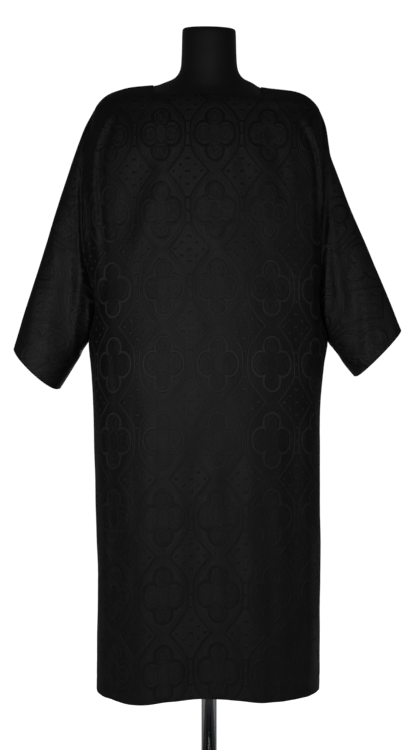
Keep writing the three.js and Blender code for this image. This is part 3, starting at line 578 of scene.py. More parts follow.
def body_panel(name, side, folds, figure_start, cloth, material):
    """The front or the back of the body."""
    drops = body_drops()
    sizes, square, seam, steady = body_rows(drops)
    points, arcs = even_sections(side, sizes, square, panel_columns, seam[side], steady)
    x, depth, drop = points[..., 0], points[..., 1], points[..., 2]
    level = drops[:, None]
    from_seam = np.minimum(arcs - arcs[:, :1], arcs[:, -1:] - arcs) + EDGE_STEPS[0]
    flat = world(points, side)

    # Places on the flat cloth: across from the middle and up from the hem
    share = smooth_step(level / YOKE_DROP)
    across = arcs * share + x * (1 - share)
    climb = np.sum(np.diff(flat / MM, axis=0) ** 2, axis=2) - np.diff(across, axis=0) ** 2
    climb = np.sqrt(np.maximum(climb, (LEAST_CLIMB * np.diff(level, axis=0)) ** 2))
    if side == "front":  # drawn over the chest by the cloth's weight, and a little askew
        drawn = smooth_step((CHEST_END - level) / CHEST_FADE)
        across = across + CHEST_LEAN * drawn
        climb = climb * (1 - CHEST_STRETCH * drawn[1:])
    up = np.concatenate((np.cumsum(climb[::-1], axis=0)[::-1], np.zeros((1, across.shape[1]))))

    hem_share = np.clip((level - UNDERARM_DROP) / (HEM_DROP - UNDERARM_DROP), 0, None) ** 2
    rise = fold_heights(folds, x, drop) * smooth_step(from_seam / FOLD_FADE)
    fall = smooth_row(HEM_LINE, "x", x)[side] * hem_share + neck_fall(side, x, level)
    draped = world(np.stack((x, depth + rise, drop + fall), axis=-1), side)
    middles = draped * (0, 0, 1)
    normals = outward_normals(draped, middles, False)
    waves = drift(across, up, WAVE_START[side])
    lift = waves * smooth_step(from_seam / DRIFT_FADE) * smooth_step(level / DRIFT_FADE)
    lift = lift + pucker(from_seam, up, WAVE_START[side]) - edge_dip(from_seam)
    lift = lift - stitch_dip(up, cloth)
    outer = draped + normals * lift[..., None] * MM
    normals = outward_normals(outer, middles, False)
    from_neck = np.cumsum(np.vstack((np.zeros((1, x.shape[1])), climb)), axis=0)
    walls = wall_thickness(cloth, np.minimum(up, from_neck))
    flat_places = np.stack((across, up), axis=-1) * MM - np.array(figure_start)
    return cloth_shell(name, outer, walls, flat_places, normals, False, material)


def sleeve_half(side, width, sizes, folds, alongs, ring, fall, blend):
    """The front or the back of a sleeve's rings from the upper edge to the underarm: how far out it
    is, its drop, its depth without folds and the height of its folds."""
    turn = np.arange(SLEEVE_STEPS + 1)[None, :] / SLEEVE_STEPS
    part = (1 - np.cos(math.pi * turn)) / 2
    seam_drops = SHOULDER_TIP_DROP + part * (UNDERARM_DROP - SHOULDER_TIP_DROP)
    seam_out = smooth_row(BODY_SECTIONS, "drop", seam_drops)[width]
    seam_depth = smooth_row(ARMHOLE_SEAM, "drop", seam_drops)[side]
    straight = sizes["top_out"][0] + part * (sizes["low_out"][0] - sizes["top_out"][0])
    bend = (seam_out - straight) * (1 - alongs) ** SLEEVE_BEND_POWER
    fullness = np.sin(math.pi * turn)
    sag = ring["sag"] * fullness * SAG_SHARES[side]
    size = np.linalg.norm(fall, axis=-1)
    out = ring["top_out"] + fall[..., 0] * part + bend + sag * fall[..., 1] / size
    drop = ring["top_drop"] + fall[..., 1] * part - sag * fall[..., 0] / size
    rise = fold_heights(folds[side], out, drop) * blend * smooth_step(fullness * 2)
    crown = ring[side] * np.maximum(fullness, 0) ** SLEEVE_FLATNESS
    return out, drop, seam_depth * (1 - blend) + crown * blend, rise


def sleeve_flat_places(side, half, fold_line, grain, fall):
    """Places of one half on the flat cloth, which was cut on the grain of the cuff and folded along
    the upper edge."""
    out, drop, depth, _ = half
    tops = np.stack((out[:, :1], drop[:, :1]), axis=-1)
    away = np.stack((out, drop), axis=-1) - tops
    flat_steps = np.linalg.norm(np.diff(away, axis=1), axis=2)
    true_steps = np.hypot(flat_steps, np.diff(depth, axis=1))
    excess = np.cumsum(true_steps - flat_steps, axis=1)
    excess = np.concatenate((np.zeros_like(out[:, :1]), excess), axis=1)
    away = away + excess[..., None] * (fall / np.linalg.norm(fall, axis=-1, keepdims=True))
    if side == "back":
        away = 2 * (away @ fold_line)[..., None] * fold_line - away
    spot = tops + away
    return np.stack((spot @ grain, spot @ np.array((-grain[1], grain[0]))), axis=-1)


def joined(front, back):
    """Rings from the underarm over the front to the upper edge and down the back."""
    return np.concatenate((front[:, ::-1], back[:, 1:]), axis=1)


def sleeve(name, hand, sizes, folds, figure_start, cloth, material):
    """One sleeve, a tube of rings from the armhole to the cuff, round from the underarm."""
    width = "left" if hand < 0 else "right"
    top = np.array((sizes["top_out"][0], sizes["top_drop"][0]))
    cuff = np.array((sizes["top_out"][-1], sizes["top_drop"][-1]))
    length = np.linalg.norm(cuff - top)
    middle = np.linspace(EDGE_REACH, length - EDGE_REACH, SLEEVE_RINGS)
    cuff_end = length - EDGE_STEPS[::-1] + EDGE_STEPS[0]
    alongs = (np.concatenate((EDGE_STEPS, middle, cuff_end)) / length)[:, None]
    ring = smooth_row(sizes, "along", alongs)
    blend = smooth_step(alongs * length / SLEEVE_BLEND)
    fall = np.stack((ring["low_out"] - ring["top_out"], ring["low_drop"] - ring["top_drop"]),
                    axis=-1)
    halves = [sleeve_half(side, width, sizes, folds, alongs, ring, fall, blend) for side in SIDES]
    grain = np.array((cuff[1] - sizes["low_drop"][-1], sizes["low_out"][-1] - cuff[0]))
    grain = -grain / np.linalg.norm(grain)
    fold_line = (cuff - top) / length
    flat = joined(*(sleeve_flat_places(side, half, fold_line, grain, fall)
                    for side, half in zip(SIDES, halves)))
    flat_places = flat * MM - np.array(figure_start)

    draped = joined(*(world(np.stack((hand * out, depth + rise, drop), axis=-1), side)
                      for side, (out, drop, depth, rise) in zip(SIDES, halves)))[:, :-1]
    middles = draped.mean(axis=1, keepdims=True)
    normals = outward_normals(draped, middles, True)
    from_armhole = alongs * length + np.zeros_like(draped[..., 0])
    from_cuff = length - from_armhole + EDGE_STEPS[0]
    columns = draped.shape[1]
    fullness = np.abs(np.sin(math.pi * (np.arange(columns) / SLEEVE_STEPS)))[None, :]
    across, up = flat_places[:, :-1, 0] / MM, flat_places[:, :-1, 1] / MM
    waves = drift(across, up, SLEEVE_WAVE_START + hand)
    lift = waves * smooth_step(from_armhole / DRIFT_FADE) * fullness
    round_place = np.linspace(0, 1, columns)[None, :] * SLEEVE_GIRTH
    lift = lift + pucker(from_armhole, round_place, SLEEVE_PUCKER_START + hand)
    lift = lift - edge_dip(from_armhole) - stitch_dip(from_cuff, cloth)
    outer = draped + normals * lift[..., None] * MM
    normals = outward_normals(outer, middles, True)
    walls = wall_thickness(cloth, from_cuff)
    return cloth_shell(name, outer, walls, flat_places, normals, True, material)


def half_rings(side, sizes, square, count):
    """Half rings of the form, of evenly spaced points from the left to the right."""
    def places(left, right):
        spread = np.linspace(-1, 1, count)[None, :]
        return np.where(spread < 0, spread * left, spread * right)

    points, _ = even_sections(side, sizes, square, places)
    return points


def rings_of(front, back):
    """Whole rings, round the front from the left and then round the back."""
    seam = (front[:, [0, -1]] + back[:, [0, -1]]) / 2
    front, back = front.copy(), back.copy()
    front[:, [0, -1]] = back[:, [0, -1]] = seam
    return np.concatenate((front[:, :-1], back[:, :0:-1]), axis=1)


def table_rings(sections, squareness):
    """Whole rings of the form from a table of its sections."""
    rows = {name: column[:, None] for name, column in sections.items()}
    square = dict.fromkeys(("front_left", "front_right", "back"), squareness)
    return rings_of(*(world(half_rings(side, rows, square, FORM_COLUMNS), side) for side in SIDES))


def shoulder_rings(clearance):
    """Rings of the form's shoulders, a little under the cloth that lies on them."""
    shoulders = []
    sizes, square, _, _ = body_rows(SHOULDER_DROPS)
    for side in SIDES:
        points = half_rings(side, sizes, square, FORM_COLUMNS)
        points[..., 2] += neck_fall(side, points[..., 0], SHOULDER_DROPS[:, None])
        points = world(points, side)
        under = points - outward_normals(points, points * (0, 0, 1), False) * clearance
        shoulders.append(under[:-1])
    return rings_of(*shoulders)


def form_rings(form):
    """Rings of the dress form from the middle of its neck cap down to its socket."""
    drop, wide, deep, slant = CAP_SECTIONS.values()
    slant = slant * deep / CAP_DEPTH
    cap = {"drop": drop, "left": wide, "right": wide, "front": deep, "front_drop": drop + slant,
           "back": deep, "back_drop": drop - slant * CAP_SLANT_BEHIND}
    rings = np.concatenate((
        table_rings(cap, NECK_SQUARENESS), table_rings(NECK_SECTIONS, NECK_SQUARENESS)[1:],
        shoulder_rings(form.cloth_clearance), table_rings(TORSO_SECTIONS, TORSO_SQUARENESS)))
    steps = np.linalg.norm(np.diff(rings, axis=0), axis=2).mean(axis=1)
    places = np.concatenate(([0], np.cumsum(steps)))
    step = FORM_STEP * MM
    fine = np.concatenate([np.linspace(a, b, max(int((b - a) / step), 3), endpoint=False)
                           for a, b in zip(places[:-1], places[1:])] + [places[-1:]])
    rings = smooth_curve(places, rings, fine)
    tilt_start = (SHOULDER_HEIGHT + CAP_TILT_HEIGHT) * MM
    above = np.clip((rings[..., 2] - tilt_start) / (CAP_TILT_REACH * MM), 0, 1)
    rings[..., 2] -= above * rings[..., 0] * form.cap_tilt
    bottom = rings[-1:]
    centre = bottom.mean(axis=1, keepdims=True)
    board = [centre + (bottom - centre) * share for share in BOARD_SHARES]
    columns = rings.shape[1]
    turn = np.linspace(-math.pi, math.pi, columns + 1)[:-1]
    circle = np.stack((np.cos(turn), np.sin(turn), np.zeros(columns)), axis=-1)
    mouth = (circle * (POLE_RADIUS + POLE_PLAY) * MM)[None] + centre
    return np.concatenate([rings, *board, mouth, mouth + (0, 0, SOCKET_HEIGHT * MM)])


def ring_solid(name, rings, material):
    """A closed solid skinned over rings from its top to its foot, with its ends closed."""
    rows, columns = rings.shape[:2]
    corner_rows, corner_columns = grid_quads(rows, columns, True)
    quads = corner_rows * columns + corner_columns % columns
    ring = np.arange(columns)
    following = np.roll(ring, -1)
    last = (rows - 1) * columns
    top, foot = rows * columns, rows * columns + 1
    ends = [[top, a, b] for a, b in zip(ring.tolist(), following.tolist())]
    ends += [[foot, last + b, last + a] for a, b in zip(ring.tolist(), following.tolist())]
    middles = rings[[0, -1]].mean(axis=1)
    vertices = np.concatenate((rings.reshape(-1, 3), middles))
    return new_piece(name, vertices, quads.tolist() + ends, material)


def lathe(name, profile, material):
    """A turned piece from its profile of radius and height in millimetres, from top to foot."""
    turn = np.linspace(0, 2 * math.pi, LATHE_SIDES + 1)[:-1]
    circle = np.stack((np.cos(turn), np.sin(turn)), axis=-1)
    rings = [np.column_stack((circle * radius, np.full(LATHE_SIDES, height)))
             for radius, height in profile]
    return ring_solid(name, np.array(rings) * MM, material)


def rounded(corner, radius, start, end, steps=5):
    """Points of a profile round a corner, between two directions in degrees."""
    turns = [math.radians(start + (end - start) * i / steps) for i in range(steps + 1)]
    return [(corner[0] + radius * math.cos(t), corner[1] + radius * math.sin(t)) for t in turns]


def add_node(tree, kind, *inputs, sockets=None, **settings):
    """Adds a node with its settings and inputs, linked or set, and returns the output it uses."""
    node = tree.nodes.new(kind)
    for name, value in settings.items():
        setattr(node, name, value)
    for key, value in [*enumerate(inputs), *(sockets or {}).items()]:
        if isinstance(value, bpy.types.NodeSocket):
            tree.links.new(value, node.inputs[key])
        else:
            node.inputs[key].default_value = value
    return next((output for output in node.outputs if output.enabled), None)


def new_material(name):
    """An empty node material and its tree."""
    material = bpy.data.materials.new(name)
    material.use_nodes = True
    material.node_tree.nodes.clear()
    return material, material.node_tree


def finish_material(tree, sockets):
    """Ends a material with its shader, whose sockets are linked or set."""
    shader = add_node(tree, "ShaderNodeBsdfPrincipled", sockets=sockets)
    add_node(tree, "ShaderNodeOutputMaterial", shader)


def opaque(colour):
    """A colour for a socket that also takes an opacity."""
    return (*colour, 1.0)


# The woven figure in millimetres of cloth, in one quarter of its repeat: a four-lobed flower inside
# a pointed frame of three lines, and a field of diamonds between four frames. Each step is its
# name, its kind, its operation and its inputs, which are numbers or the names of earlier steps.
FIGURE_STEPS = [
    ("side_lobe_spot", "vector", "SUBTRACT", "spot", (21.8, 0, 0)),
    ("side_lobe_part", "vector", "DIVIDE", "side_lobe_spot", (19, 25.5, 1)),
    ("side_lobe_reach", "vector", "LENGTH", "side_lobe_part"),
    ("side_lobe", "value", "MULTIPLY_ADD", "side_lobe_reach", 22, -22),
    ("end_lobe_spot", "vector", "SUBTRACT", "spot", (0, 34.6, 0)),
    ("end_lobe_part", "vector", "DIVIDE", "end_lobe_spot", (17.8, 20, 1)),
    ("end_lobe_reach", "vector", "LENGTH", "end_lobe_part"),
    ("end_lobe", "value", "MULTIPLY_ADD", "end_lobe_reach", 19, -19),
    ("heart_part", "vector", "DIVIDE", "spot", (19, 32, 1)),
    ("heart_reach", "vector", "LENGTH", "heart_part"),
    ("heart", "value", "MULTIPLY_ADD", "heart_reach", 25, -25),
    ("lobes", "value", "MINIMUM", "side_lobe", "end_lobe"),
    ("flower", "value", "MINIMUM", "lobes", "heart"),
    ("flower_away", "value", "ABSOLUTE", "flower"),
    ("flower_outline", "mask", "MULTIPLY_ADD", "flower_away", -0.9, 2.9),
    ("flower_inside", "mask", "MULTIPLY_ADD", "flower", -1.0, 0.0),
    ("sprig_lines", "mask", "MULTIPLY_ADD", "sprigs", 12, -6.2),
    ("inner_spot", "value", "ADD", "flower", 9),
    ("inner_away", "value", "ABSOLUTE", "inner_spot"),
    ("inner_outline", "mask", "MULTIPLY_ADD", "inner_away", -0.9, 1.7),
    ("flower_filling", "value", "MAXIMUM", "sprig_lines", "inner_outline"),
    ("sprig_marks", "value", "MULTIPLY", "flower_filling", "flower_inside"),
    ("frame_part_across", "value", "DIVIDE", "across", 67),
    ("frame_part_up", "value", "DIVIDE", "up", 88.8),
    ("frame_power_across", "value", "POWER", "frame_part_across", 1.12),
    ("frame_power_up", "value", "POWER", "frame_part_up", 1.12),
    ("frame_sum", "value", "ADD", "frame_power_across", "frame_power_up"),
    ("frame_reach", "value", "POWER", "frame_sum", 1 / 1.12),
    ("frame_edge", "value", "MULTIPLY_ADD", "frame_reach", 54.5, -54.5),
    ("neighbour_edge", "value", "SUBTRACT", "across", 49.5),
    ("frame", "value", "SMOOTH_MAX", "frame_edge", "neighbour_edge", 14),
    ("frame_away", "value", "ABSOLUTE", "frame"),
    ("frame_outline", "mask", "MULTIPLY_ADD", "frame_away", -1.0, 2.1),
    ("band_wave", "value", "PINGPONG", "frame", 2.0),
    ("band_stroke", "mask", "MULTIPLY_ADD", "band_wave", -1.4, 1.7),
    ("band_from", "mask", "MULTIPLY_ADD", "frame", 1.0, 9.6),
    ("band_to", "mask", "MULTIPLY_ADD", "frame", -1.0, 0.6),
    ("band_range", "value", "MULTIPLY", "band_from", "band_to"),
    ("bands", "value", "MULTIPLY", "band_stroke", "band_range"),
    ("diamond_across", "value", "DIVIDE", "across", 13.25),
    ("diamond_up", "value", "DIVIDE", "up", 12.667),
    ("diamond_sum", "value", "ADD", "diamond_across", "diamond_up"),
    ("diamond_difference", "value", "SUBTRACT", "diamond_across", "diamond_up"),
    ("diamond_rising", "value", "PINGPONG", "diamond_sum", 1.0),
    ("diamond_falling", "value", "PINGPONG", "diamond_difference", 1.0),
    ("dot_reach", "value", "ADD", "diamond_rising", "diamond_falling"),
    ("dots", "mask", "MULTIPLY_ADD", "dot_reach", -4.0, 2.1),
    ("grid_reach", "value", "MAXIMUM", "diamond_rising", "diamond_falling"),
    ("grid_lines", "mask", "MULTIPLY_ADD", "grid_reach", 8.0, -7.1),
    ("grid_faint", "value", "MULTIPLY", "grid_lines", 0.35),
    ("diamonds", "value", "MAXIMUM", "dots", "grid_faint"),
    ("field", "mask", "MULTIPLY_ADD", "frame", 1.0, -2.4),
    ("field_figure", "value", "MULTIPLY", "diamonds", "field"),
    ("outlines", "value", "MAXIMUM", "flower_outline", "frame_outline"),
    ("sprigs_faint", "value", "MULTIPLY", "sprig_marks", 0.45),
    ("bands_faint", "value", "MULTIPLY", "bands", 0.45),
    ("strong", "value", "MAXIMUM", "outlines", "field_figure"),
    ("faint", "value", "MAXIMUM", "sprigs_faint", "bands_faint"),
    ("lines", "value", "MAXIMUM", "strong", "faint"),
    ("outside", "value", "SUBTRACT", 1.0, "flower_inside"),
    ("dull_ground", "value", "MULTIPLY", "outside", 0.1),
    ("figure", "value", "MAXIMUM", "lines", "dull_ground"),
]


def woven_figure(tree, cloth):
    """How much of the dull figure weave there is at each place of the cloth, from nought to one."""
    repeat = (cloth.repeat_width, cloth.repeat_height, 1)
    whole = (cloth.repeat_width / MM, cloth.repeat_height / MM, 0)
    place = add_node(tree, "ShaderNodeUVMap", uv_map=CLOTH_MAP)
    cell = add_node(tree, "ShaderNodeVectorMath", place, repeat, operation="DIVIDE")
    shifted = add_node(tree, "ShaderNodeVectorMath", cell, (0.5, 0.5, 0.5), operation="ADD")
    part = add_node(tree, "ShaderNodeVectorMath", shifted, operation="FRACTION")
    centred = add_node(tree, "ShaderNodeVectorMath", part, (0.5, 0.5, 0.5), operation="SUBTRACT")
    quarter = add_node(tree, "ShaderNodeVectorMath", centred, operation="ABSOLUTE")
    spot = add_node(tree, "ShaderNodeVectorMath", quarter, whole, operation="MULTIPLY")
    across = add_node(tree, "ShaderNodeSeparateXYZ", spot)
    sprigs = add_node(tree, "ShaderNodeTexNoise", sockets={
        "Vector": spot, "Scale": 0.17, "Detail": 1.0, "Distortion": 0.8})
    values = {"spot": spot, "across": across, "up": across.node.outputs["Y"], "sprigs": sprigs}
    kinds = {
        "vector": ("ShaderNodeVectorMath", {}),
        "value": ("ShaderNodeMath", {}),
        "mask": ("ShaderNodeMath", {"use_clamp": True}),
    }
    for name, kind, operation, *inputs in FIGURE_STEPS:
        node_type, settings = kinds[kind]
        known = [values[entry] if isinstance(entry, str) else entry for entry in inputs]
        values[name] = add_node(tree, node_type, *known, operation=operation, **settings)
    return place, values["figure"]


def silk_damask(cloth):
    """Silk damask woven in one black yarn: a satin ground that shines where light falls square on
    it, and a duller figure that shows darker there and lighter towards the sides."""
    material, tree = new_material(DAMASK_NAME)
    place, figure = woven_figure(tree, cloth)
    # A grain of threads 0.2 mm wide, drawn 1.2 mm wide so that the render shows it
    stretched = add_node(tree, "ShaderNodeVectorMath", place, (1.0, 0.3, 1.0), operation="MULTIPLY")
    grain = add_node(tree, "ShaderNodeTexNoise", sockets={
        "Vector": stretched, "Scale": 1 / (2 * 1.2 * MM), "Detail": 2.0, "Roughness": 0.6})
    # Slow changes of tone, about 45 mm apart, from yarns of uneven thickness
    slubs = add_node(tree, "ShaderNodeTexNoise", sockets={
        "Vector": place, "Scale": 1 / (45 * MM), "Detail": 3.0, "Roughness": 0.55})
    base = add_node(tree, "ShaderNodeMix", data_type="RGBA", sockets={
        0: figure, 6: opaque(cloth.ground_colour), 7: opaque(cloth.figure_colour)})
    shade = add_node(tree, "ShaderNodeMapRange", grain, 0.25, 0.75, 0.78, 1.22)
    tone = add_node(tree, "ShaderNodeMapRange", slubs, 0.3, 0.7, 0.92, 1.08)
    strength = add_node(tree, "ShaderNodeMath", shade, tone, operation="MULTIPLY")
    colour = add_node(tree, "ShaderNodeVectorMath", base, operation="SCALE",
                      sockets={"Scale": strength})
    # The ground's floats run across the cloth and the figure's run down it, so each shines its way
    lie = add_node(tree, "ShaderNodeMapRange", figure, 0.0, 1.0, 0.25, 0.0)
    thread_way = add_node(tree, "ShaderNodeTangent", direction_type="UV_MAP", uv_map=CLOTH_MAP)
    dullness = add_node(tree, "ShaderNodeMapRange", figure, 0.0, 1.0, 0.55, 0.61)
    thread = add_node(tree, "ShaderNodeMath", grain, figure, operation="ADD")
    relief = add_node(tree, "ShaderNodeBump", sockets={
        "Strength": 0.9, "Distance": 0.001, "Height": thread})
    finish_material(tree, {
        "Base Color": colour, "Roughness": dullness, "IOR": 1.45, "Specular IOR Level": 0.3,
        "Anisotropic": 0.72, "Anisotropic Rotation": lie, "Tangent": thread_way,
        "Sheen Weight": 0.01, "Sheen Roughness": 0.4, "Normal": relief})
    return material


def damask_for(cloth):
    """The damask, made once for all the pieces that are cut from it."""
    return bpy.data.materials.get(DAMASK_NAME) or silk_damask(cloth)


def cotton_jersey(form):
    """Black cotton jersey stretched over the form: fine ribs of stitches and a soft dull shine."""
    material, tree = new_material("knitted_cotton_jersey")
    place = add_node(tree, "ShaderNodeTexCoord").node.outputs["Object"]
    # Ribs 0.6 mm apart, drawn 6.3 mm apart so that they show, as a wave takes 0.314 of the scale
    # of 20 mm, and a fuzz in spots of 4 mm
    ribs = add_node(tree, "ShaderNodeTexWave", sockets={
        "Vector": place, "Scale": 1 / (20 * MM), "Distortion": 1.2, "Detail": 1.0,
        "Detail Scale": 6.0}, bands_direction="X")
    fuzz = add_node(tree, "ShaderNodeTexNoise", sockets={
        "Vector": place, "Scale": 1 / (4 * MM), "Detail": 3.0})
    height = add_node(tree, "ShaderNodeMath", fuzz, ribs.node.outputs["Fac"], operation="ADD")
    mottle = add_node(tree, "ShaderNodeMapRange", fuzz, 0.3, 0.7, 0.85, 1.15)
    colour = add_node(tree, "ShaderNodeVectorMath", form.cover_colour,
                      sockets={"Scale": mottle}, operation="SCALE")
    relief = add_node(tree, "ShaderNodeBump", sockets={
        "Strength": 0.25, "Distance": 0.0003, "Height": height})
    finish_material(tree, {
        "Base Color": colour, "Roughness": 0.42, "IOR": 1.45, "Specular IOR Level": 0.4,
        "Sheen Weight": 0.01, "Sheen Roughness": 0.5, "Normal": relief})
    return material


def chromed_steel(stand):
    """Chromed steel, turned and polished: a bright mirror with the faintest lines round it."""
    material, tree = new_material("polished_chromed_steel")
    place = add_node(tree, "ShaderNodeTexCoord").node.outputs["Object"]
    # Polishing lines finer than 0.1 mm, drawn 2.5 mm apart so that they show
    drawn = add_node(tree, "ShaderNodeVectorMath", place, (6.0, 6.0, 400.0), operation="MULTIPLY")
    lines = add_node(tree, "ShaderNodeTexNoise", sockets={
        "Vector": drawn, "Scale": 1.0, "Detail": 4.0})
    haze = add_node(tree, "ShaderNodeMapRange", lines, 0.3, 0.7, 0.10, 0.20)
    relief = add_node(tree, "ShaderNodeBump", sockets={
        "Strength": 0.05, "Distance": 0.0001, "Height": lines})
    finish_material(tree, {
        "Base Color": opaque(stand.metal_colour), "Metallic": 1.0, "Roughness": haze,
        "Normal": relief})
    return material


def studio_paper(studio):
    """Matt white paper of the studio's floor and backdrop, lit evenly."""
    material, tree = new_material("matt_studio_paper")
    place = add_node(tree, "ShaderNodeTexCoord").node.outputs["Object"]
    # Fibres of the paper, in spots about 1.1 mm apart
    fibres = add_node(tree, "ShaderNodeTexNoise", sockets={"Vector": place, "Scale": 900.0})
    tone = add_node(tree, "ShaderNodeMapRange", fibres, 0.0, 1.0, 0.985, 1.0)
    colour = add_node(tree, "ShaderNodeVectorMath", studio.paper_colour,
                      sockets={"Scale": tone}, operation="SCALE")
    # Burnt out in the picture, while it gives the room only a little of its light
    seen = add_node(tree, "ShaderNodeLightPath")
    glow = add_node(tree, "ShaderNodeMapRange", seen, 0.0, 1.0,
                    studio.paper_light, studio.paper_glow)
    finish_material(tree, {
        "Base Color": colour, "Roughness": 0.95, "Specular IOR Level": 0.1,
        "Emission Color": (1.0, 1.0, 1.0, 1.0), "Emission Strength": glow})
    return material


def number_property(name, description, value, unit="NONE"):
    """A plain number, or one with a unit."""
    return bpy.props.FloatProperty(name=name, description=description, default=value, unit=unit)


def size_property(name, description, metres):
    """A size in metres, shown to a tenth of a millimetre."""
    return bpy.props.FloatProperty(name=name, description=description, default=metres,
                                   unit="LENGTH", precision=4)


def colour_property(name, description, text):
    """A colour, given as an sRGB hex value."""
    return bpy.props.FloatVectorProperty(name=name, description=description, subtype="COLOR",
                                         size=3, min=0, max=1, default=linear_colour(text))


class DalmaticCloth(bpy.types.PropertyGroup):
    """Sizes and colours of the damask."""
    wall: size_property("Cloth", "Thickness of the damask", 0.0011)
    turned_edge: size_property("Turned edge", "Depth of the turned hem, cuffs and neck", 0.026)
    repeat_width: size_property("Repeat across", "Width of one repeat of the woven figure", 0.109)
    repeat_height: size_property("Repeat up", "Height of one repeat of the woven figure", 0.152)
    ground_colour: colour_property("Ground", "The satin ground", "#111111")
    figure_colour: colour_property("Figure", "The dull figure", "#151515")


class DressForm(bpy.types.PropertyGroup):
    """Sizes and colour of the dress form."""
    cloth_clearance: size_property("Under the cloth", "Depth of the form under the cloth", 0.0034)
    cap_tilt: number_property("Cap tilt", "Slope of the neck cap to one side", 0.02)
    cover_colour: colour_property("Cover", "The jersey", "#141414")


class FormStand(bpy.types.PropertyGroup):
    """Colour of the stand."""
    metal_colour: colour_property("Metal", "The chromed steel", "#c9cbce")


class Studio(bpy.types.PropertyGroup):
    """The camera, the light and the paper."""
    distance: size_property("Camera distance", "From the middle of the form", 3.0)
    height: size_property("Camera height", "Above the floor", 0.95)
    lens: number_property("Lens", "Focal length", 68.57, "CAMERA")
    key_power: number_property("Key light", "Power of the wide light on the front", 5.0, "POWER")
    fill_power: number_property("Fill light", "Power of the light beside the camera", 4.0, "POWER")
    side_power: number_property("Side lights", "Power of each side light", 2.1, "POWER")
    back_power: number_property("Back light", "Power of the light behind", 6.0, "POWER")
    room_light: number_property("Room light", "Brightness of the room", 0.05)
    paper_glow: number_property("Paper glow", "Brightness of the paper as seen", 1.0)
    paper_light: number_property("Paper light", "Light that the paper gives", 0.03)
    paper_colour: colour_property("Paper", "Floor and backdrop", "#f4f4f4")


CAMERA_ACROSS = 0.002
SENSOR_WIDTH = 36
LIGHT_TARGET = Vector((0, 0, 1.0))
PAPER_START, PAPER_BEND, PAPER_TOP = -10.0, 9.0, 7.0  # from before the form to high behind it
PAPER_BEND_RADIUS = 1.2
PAPER_HALF_WIDTH = 10
PAPER_COLUMNS = 13


class DALMATIC_OT_studio(bpy.types.Operator):
    """Adds the camera, the soft lights, the floor and the backdrop"""
    bl_idname = "dalmatic.add_studio"
    bl_label = "Studio"

    def execute(self, context):
        studio = context.scene.dalmatic_studio
        camera = bpy.data.objects.new("camera", bpy.data.cameras.new("camera"))
        camera.location = (CAMERA_ACROSS, -studio.distance, studio.height)
        camera.rotation_euler = (math.pi / 2, 0, 0)
        camera.data.lens = studio.lens
        camera.data.sensor_width = SENSOR_WIDTH
        camera.data.dof.use_dof = False
        context.scene.collection.objects.link(camera)
        context.scene.camera = camera
        context.scene.view_settings.view_transform = "Standard"
        # Each light's name, place, power, width and height
        lights = [
            ("key_light", (-0.3, -1.25, 1.12), studio.key_power, 0.8, 0.3),
            ("fill_light", (0.7, -2.6, 1.2), studio.fill_power, 0.6, 0.6),
            ("left_side_light", (-1.5, -1.25, 1.08), studio.side_power, 0.5, 0.5),
            ("right_side_light", (1.5, -1.25, 1.08), studio.side_power, 0.5, 0.5),
            ("back_light", (0.25, 2.4, 1.15), studio.back_power, 0.8, 0.5),
        ]
        for name, place, power, width, height in lights:
            light = bpy.data.objects.new(name, bpy.data.lights.new(name, "AREA"))
            light.data.shape = "ELLIPSE"
            light.data.size, light.data.size_y = width, height
            light.data.energy = power
            light.location = place
            direction = LIGHT_TARGET - Vector(place)
            light.rotation_euler = direction.to_track_quat("-Z", "Y").to_euler()
            context.scene.collection.objects.link(light)
        world_light = bpy.data.worlds.new("studio")
        world_light.use_nodes = True
        background = world_light.node_tree.nodes["Background"]
        background.inputs["Color"].default_value = (1.0, 1.0, 1.0, 1.0)
        background.inputs["Strength"].default_value = studio.room_light
        context.scene.world = world_light
        curve = rounded((PAPER_BEND, PAPER_BEND_RADIUS), PAPER_BEND_RADIUS, -90, 0, 24)
        profile = [(PAPER_START, 0.0), *curve, (PAPER_BEND + PAPER_BEND_RADIUS, PAPER_TOP)]
        across = np.linspace(-PAPER_HALF_WIDTH, PAPER_HALF_WIDTH, PAPER_COLUMNS)
        vertices = np.array([(x, y, z) for y, z in profile for x in across])
        corner_rows, corner_columns = grid_quads(len(profile), len(across), False)
        faces = (corner_rows * len(across) + corner_columns)[:, ::-1]
        paper = new_piece("studio_floor", vertices, faces.tolist(), studio_paper(studio))
        return {"FINISHED"}


def hang_cloth(piece, node):
    """Puts a piece of cloth under the frame's root and hides the part that it stands for."""
    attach(piece, "root")
    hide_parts(node)


class DALMATIC_OT_body(bpy.types.Operator):
    """Adds the front and the back of the dalmatic"""
    bl_idname = "dalmatic.add_body"
    bl_label = "Front and back"

    def execute(self, context):
        cloth = context.scene.dalmatic_cloth
        damask = damask_for(cloth)
        panels = [
            ("dalmatic_front", "front", FRONT_FOLDS, (0.018, 0.056), (0.74, 1.34), 0.86),
            ("dalmatic_back", "back", BACK_FOLDS, (-0.011, 0.087), (0.72, 1.32), 0.82),
        ]
        for name, side, folds, start, flat, area in panels:
            piece = body_panel(name, side, folds, start, cloth, damask)
            hang_cloth(piece, side + "_panel")
        return {"FINISHED"}


class DALMATIC_OT_sleeves(bpy.types.Operator):
    """Adds the two sleeves"""
    bl_idname = "dalmatic.add_sleeves"
    bl_label = "Sleeves"

    def execute(self, context):
        cloth = context.scene.dalmatic_cloth
        damask = damask_for(cloth)
        sleeves = [("left", -1, LEFT_SLEEVE, LEFT_SLEEVE_FOLDS, (0.212, 0.026)),
                   ("right", 1, RIGHT_SLEEVE, RIGHT_SLEEVE_FOLDS, (0.190, 0.070))]
        for width, hand, sizes, folds, start in sleeves:
            piece = sleeve("dalmatic_sleeve_" + width, hand, sizes, folds, start, cloth, damask)
            hang_cloth(piece, "sleeve_" + width)
        return {"FINISHED"}


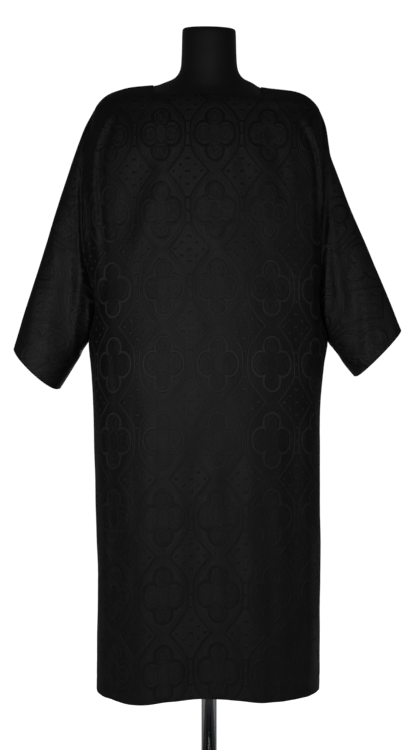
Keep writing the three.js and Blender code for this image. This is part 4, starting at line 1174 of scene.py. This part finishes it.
class DALMATIC_OT_form(bpy.types.Operator):
    """Adds the limbless dress form"""
    bl_idname = "dalmatic.add_form"
    bl_label = "Dress form"

    def execute(self, context):
        form = context.scene.dalmatic_form
        piece = ring_solid("dress_form", form_rings(form), cotton_jersey(form))
        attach(piece, "root")
        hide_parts("form_torso")
        return {"FINISHED"}


class DALMATIC_OT_stand(bpy.types.Operator):
    """Adds the pole and the round base"""
    bl_idname = "dalmatic.add_stand"
    bl_label = "Stand"

    def execute(self, context):
        steel = chromed_steel(context.scene.dalmatic_stand)
        pole_top, pole_foot = (corner[2] / MM for corner in reversed(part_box("stand_pole")))
        pole = [(0.5, pole_top), *rounded((POLE_RADIUS - 1.5, pole_top - 1.5), 1.5, 90, 0),
                (POLE_RADIUS, pole_foot)]
        base_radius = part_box("stand_base")[1][0] / MM
        socket_radius = POLE_RADIUS + POLE_PLAY
        base = [
            (socket_radius, 18), (socket_radius, 51.5),
            *rounded((18, 50.5), 1.5, 120, 90, 2), *rounded((24, 49), 3, 90, 0),
            (27, 23), *rounded((37, 23), 10, 180, 270),
            (60, 12.2), (120, 10.3), (170, 8.7), *rounded((base_radius - 4, 4), 4, 80, -60, 8),
            (base_radius - 8, 0),
        ]
        pieces = [("form_pole", "stand_pole", pole), ("form_base", "stand_base", base)]
        for name, node, profile in pieces:
            piece = lathe(name, profile, steel)
            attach(piece, "root")
            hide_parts(node)
        return {"FINISHED"}


class DALMATIC_PT_panel(bpy.types.Panel):
    """Lists the pieces of the dalmatic, its dress form and the studio"""
    bl_idname = "DALMATIC_PT_panel"
    bl_label = "Dalmatic"
    bl_space_type = "VIEW_3D"
    bl_region_type = "UI"
    bl_category = "Dalmatic"

    def draw(self, context):
        for operator in OPERATORS:
            self.layout.operator(operator.bl_idname)
        for name, group in GROUPS.items():
            box = self.layout.box()
            for key in group.__annotations__:
                box.prop(getattr(context.scene, name), key)


OPERATORS = (DALMATIC_OT_studio, DALMATIC_OT_form, DALMATIC_OT_body, DALMATIC_OT_sleeves,
             DALMATIC_OT_stand)
GROUPS = {
    "dalmatic_cloth": DalmaticCloth,
    "dalmatic_form": DressForm,
    "dalmatic_stand": FormStand,
    "dalmatic_studio": Studio,
}


def register():
    """Adds the groups, the operators and the panel to the program."""
    for part in (*GROUPS.values(), *OPERATORS, DALMATIC_PT_panel):
        bpy.utils.register_class(part)
    for name, group in GROUPS.items():
        setattr(bpy.types.Scene, name, bpy.props.PointerProperty(type=group))


def unregister():
    """Takes them away again."""
    for name in GROUPS:
        delattr(bpy.types.Scene, name)
    for part in reversed((*GROUPS.values(), *OPERATORS, DALMATIC_PT_panel)):
        bpy.utils.unregister_class(part)


def main():
    """Builds the scene."""
    register()
    bpy.ops.dalmatic.add_studio()
    bpy.ops.dalmatic.add_form()
    bpy.ops.dalmatic.add_body()
    bpy.ops.dalmatic.add_sleeves()
    bpy.ops.dalmatic.add_stand()


if __name__ == "__main__":
    main()
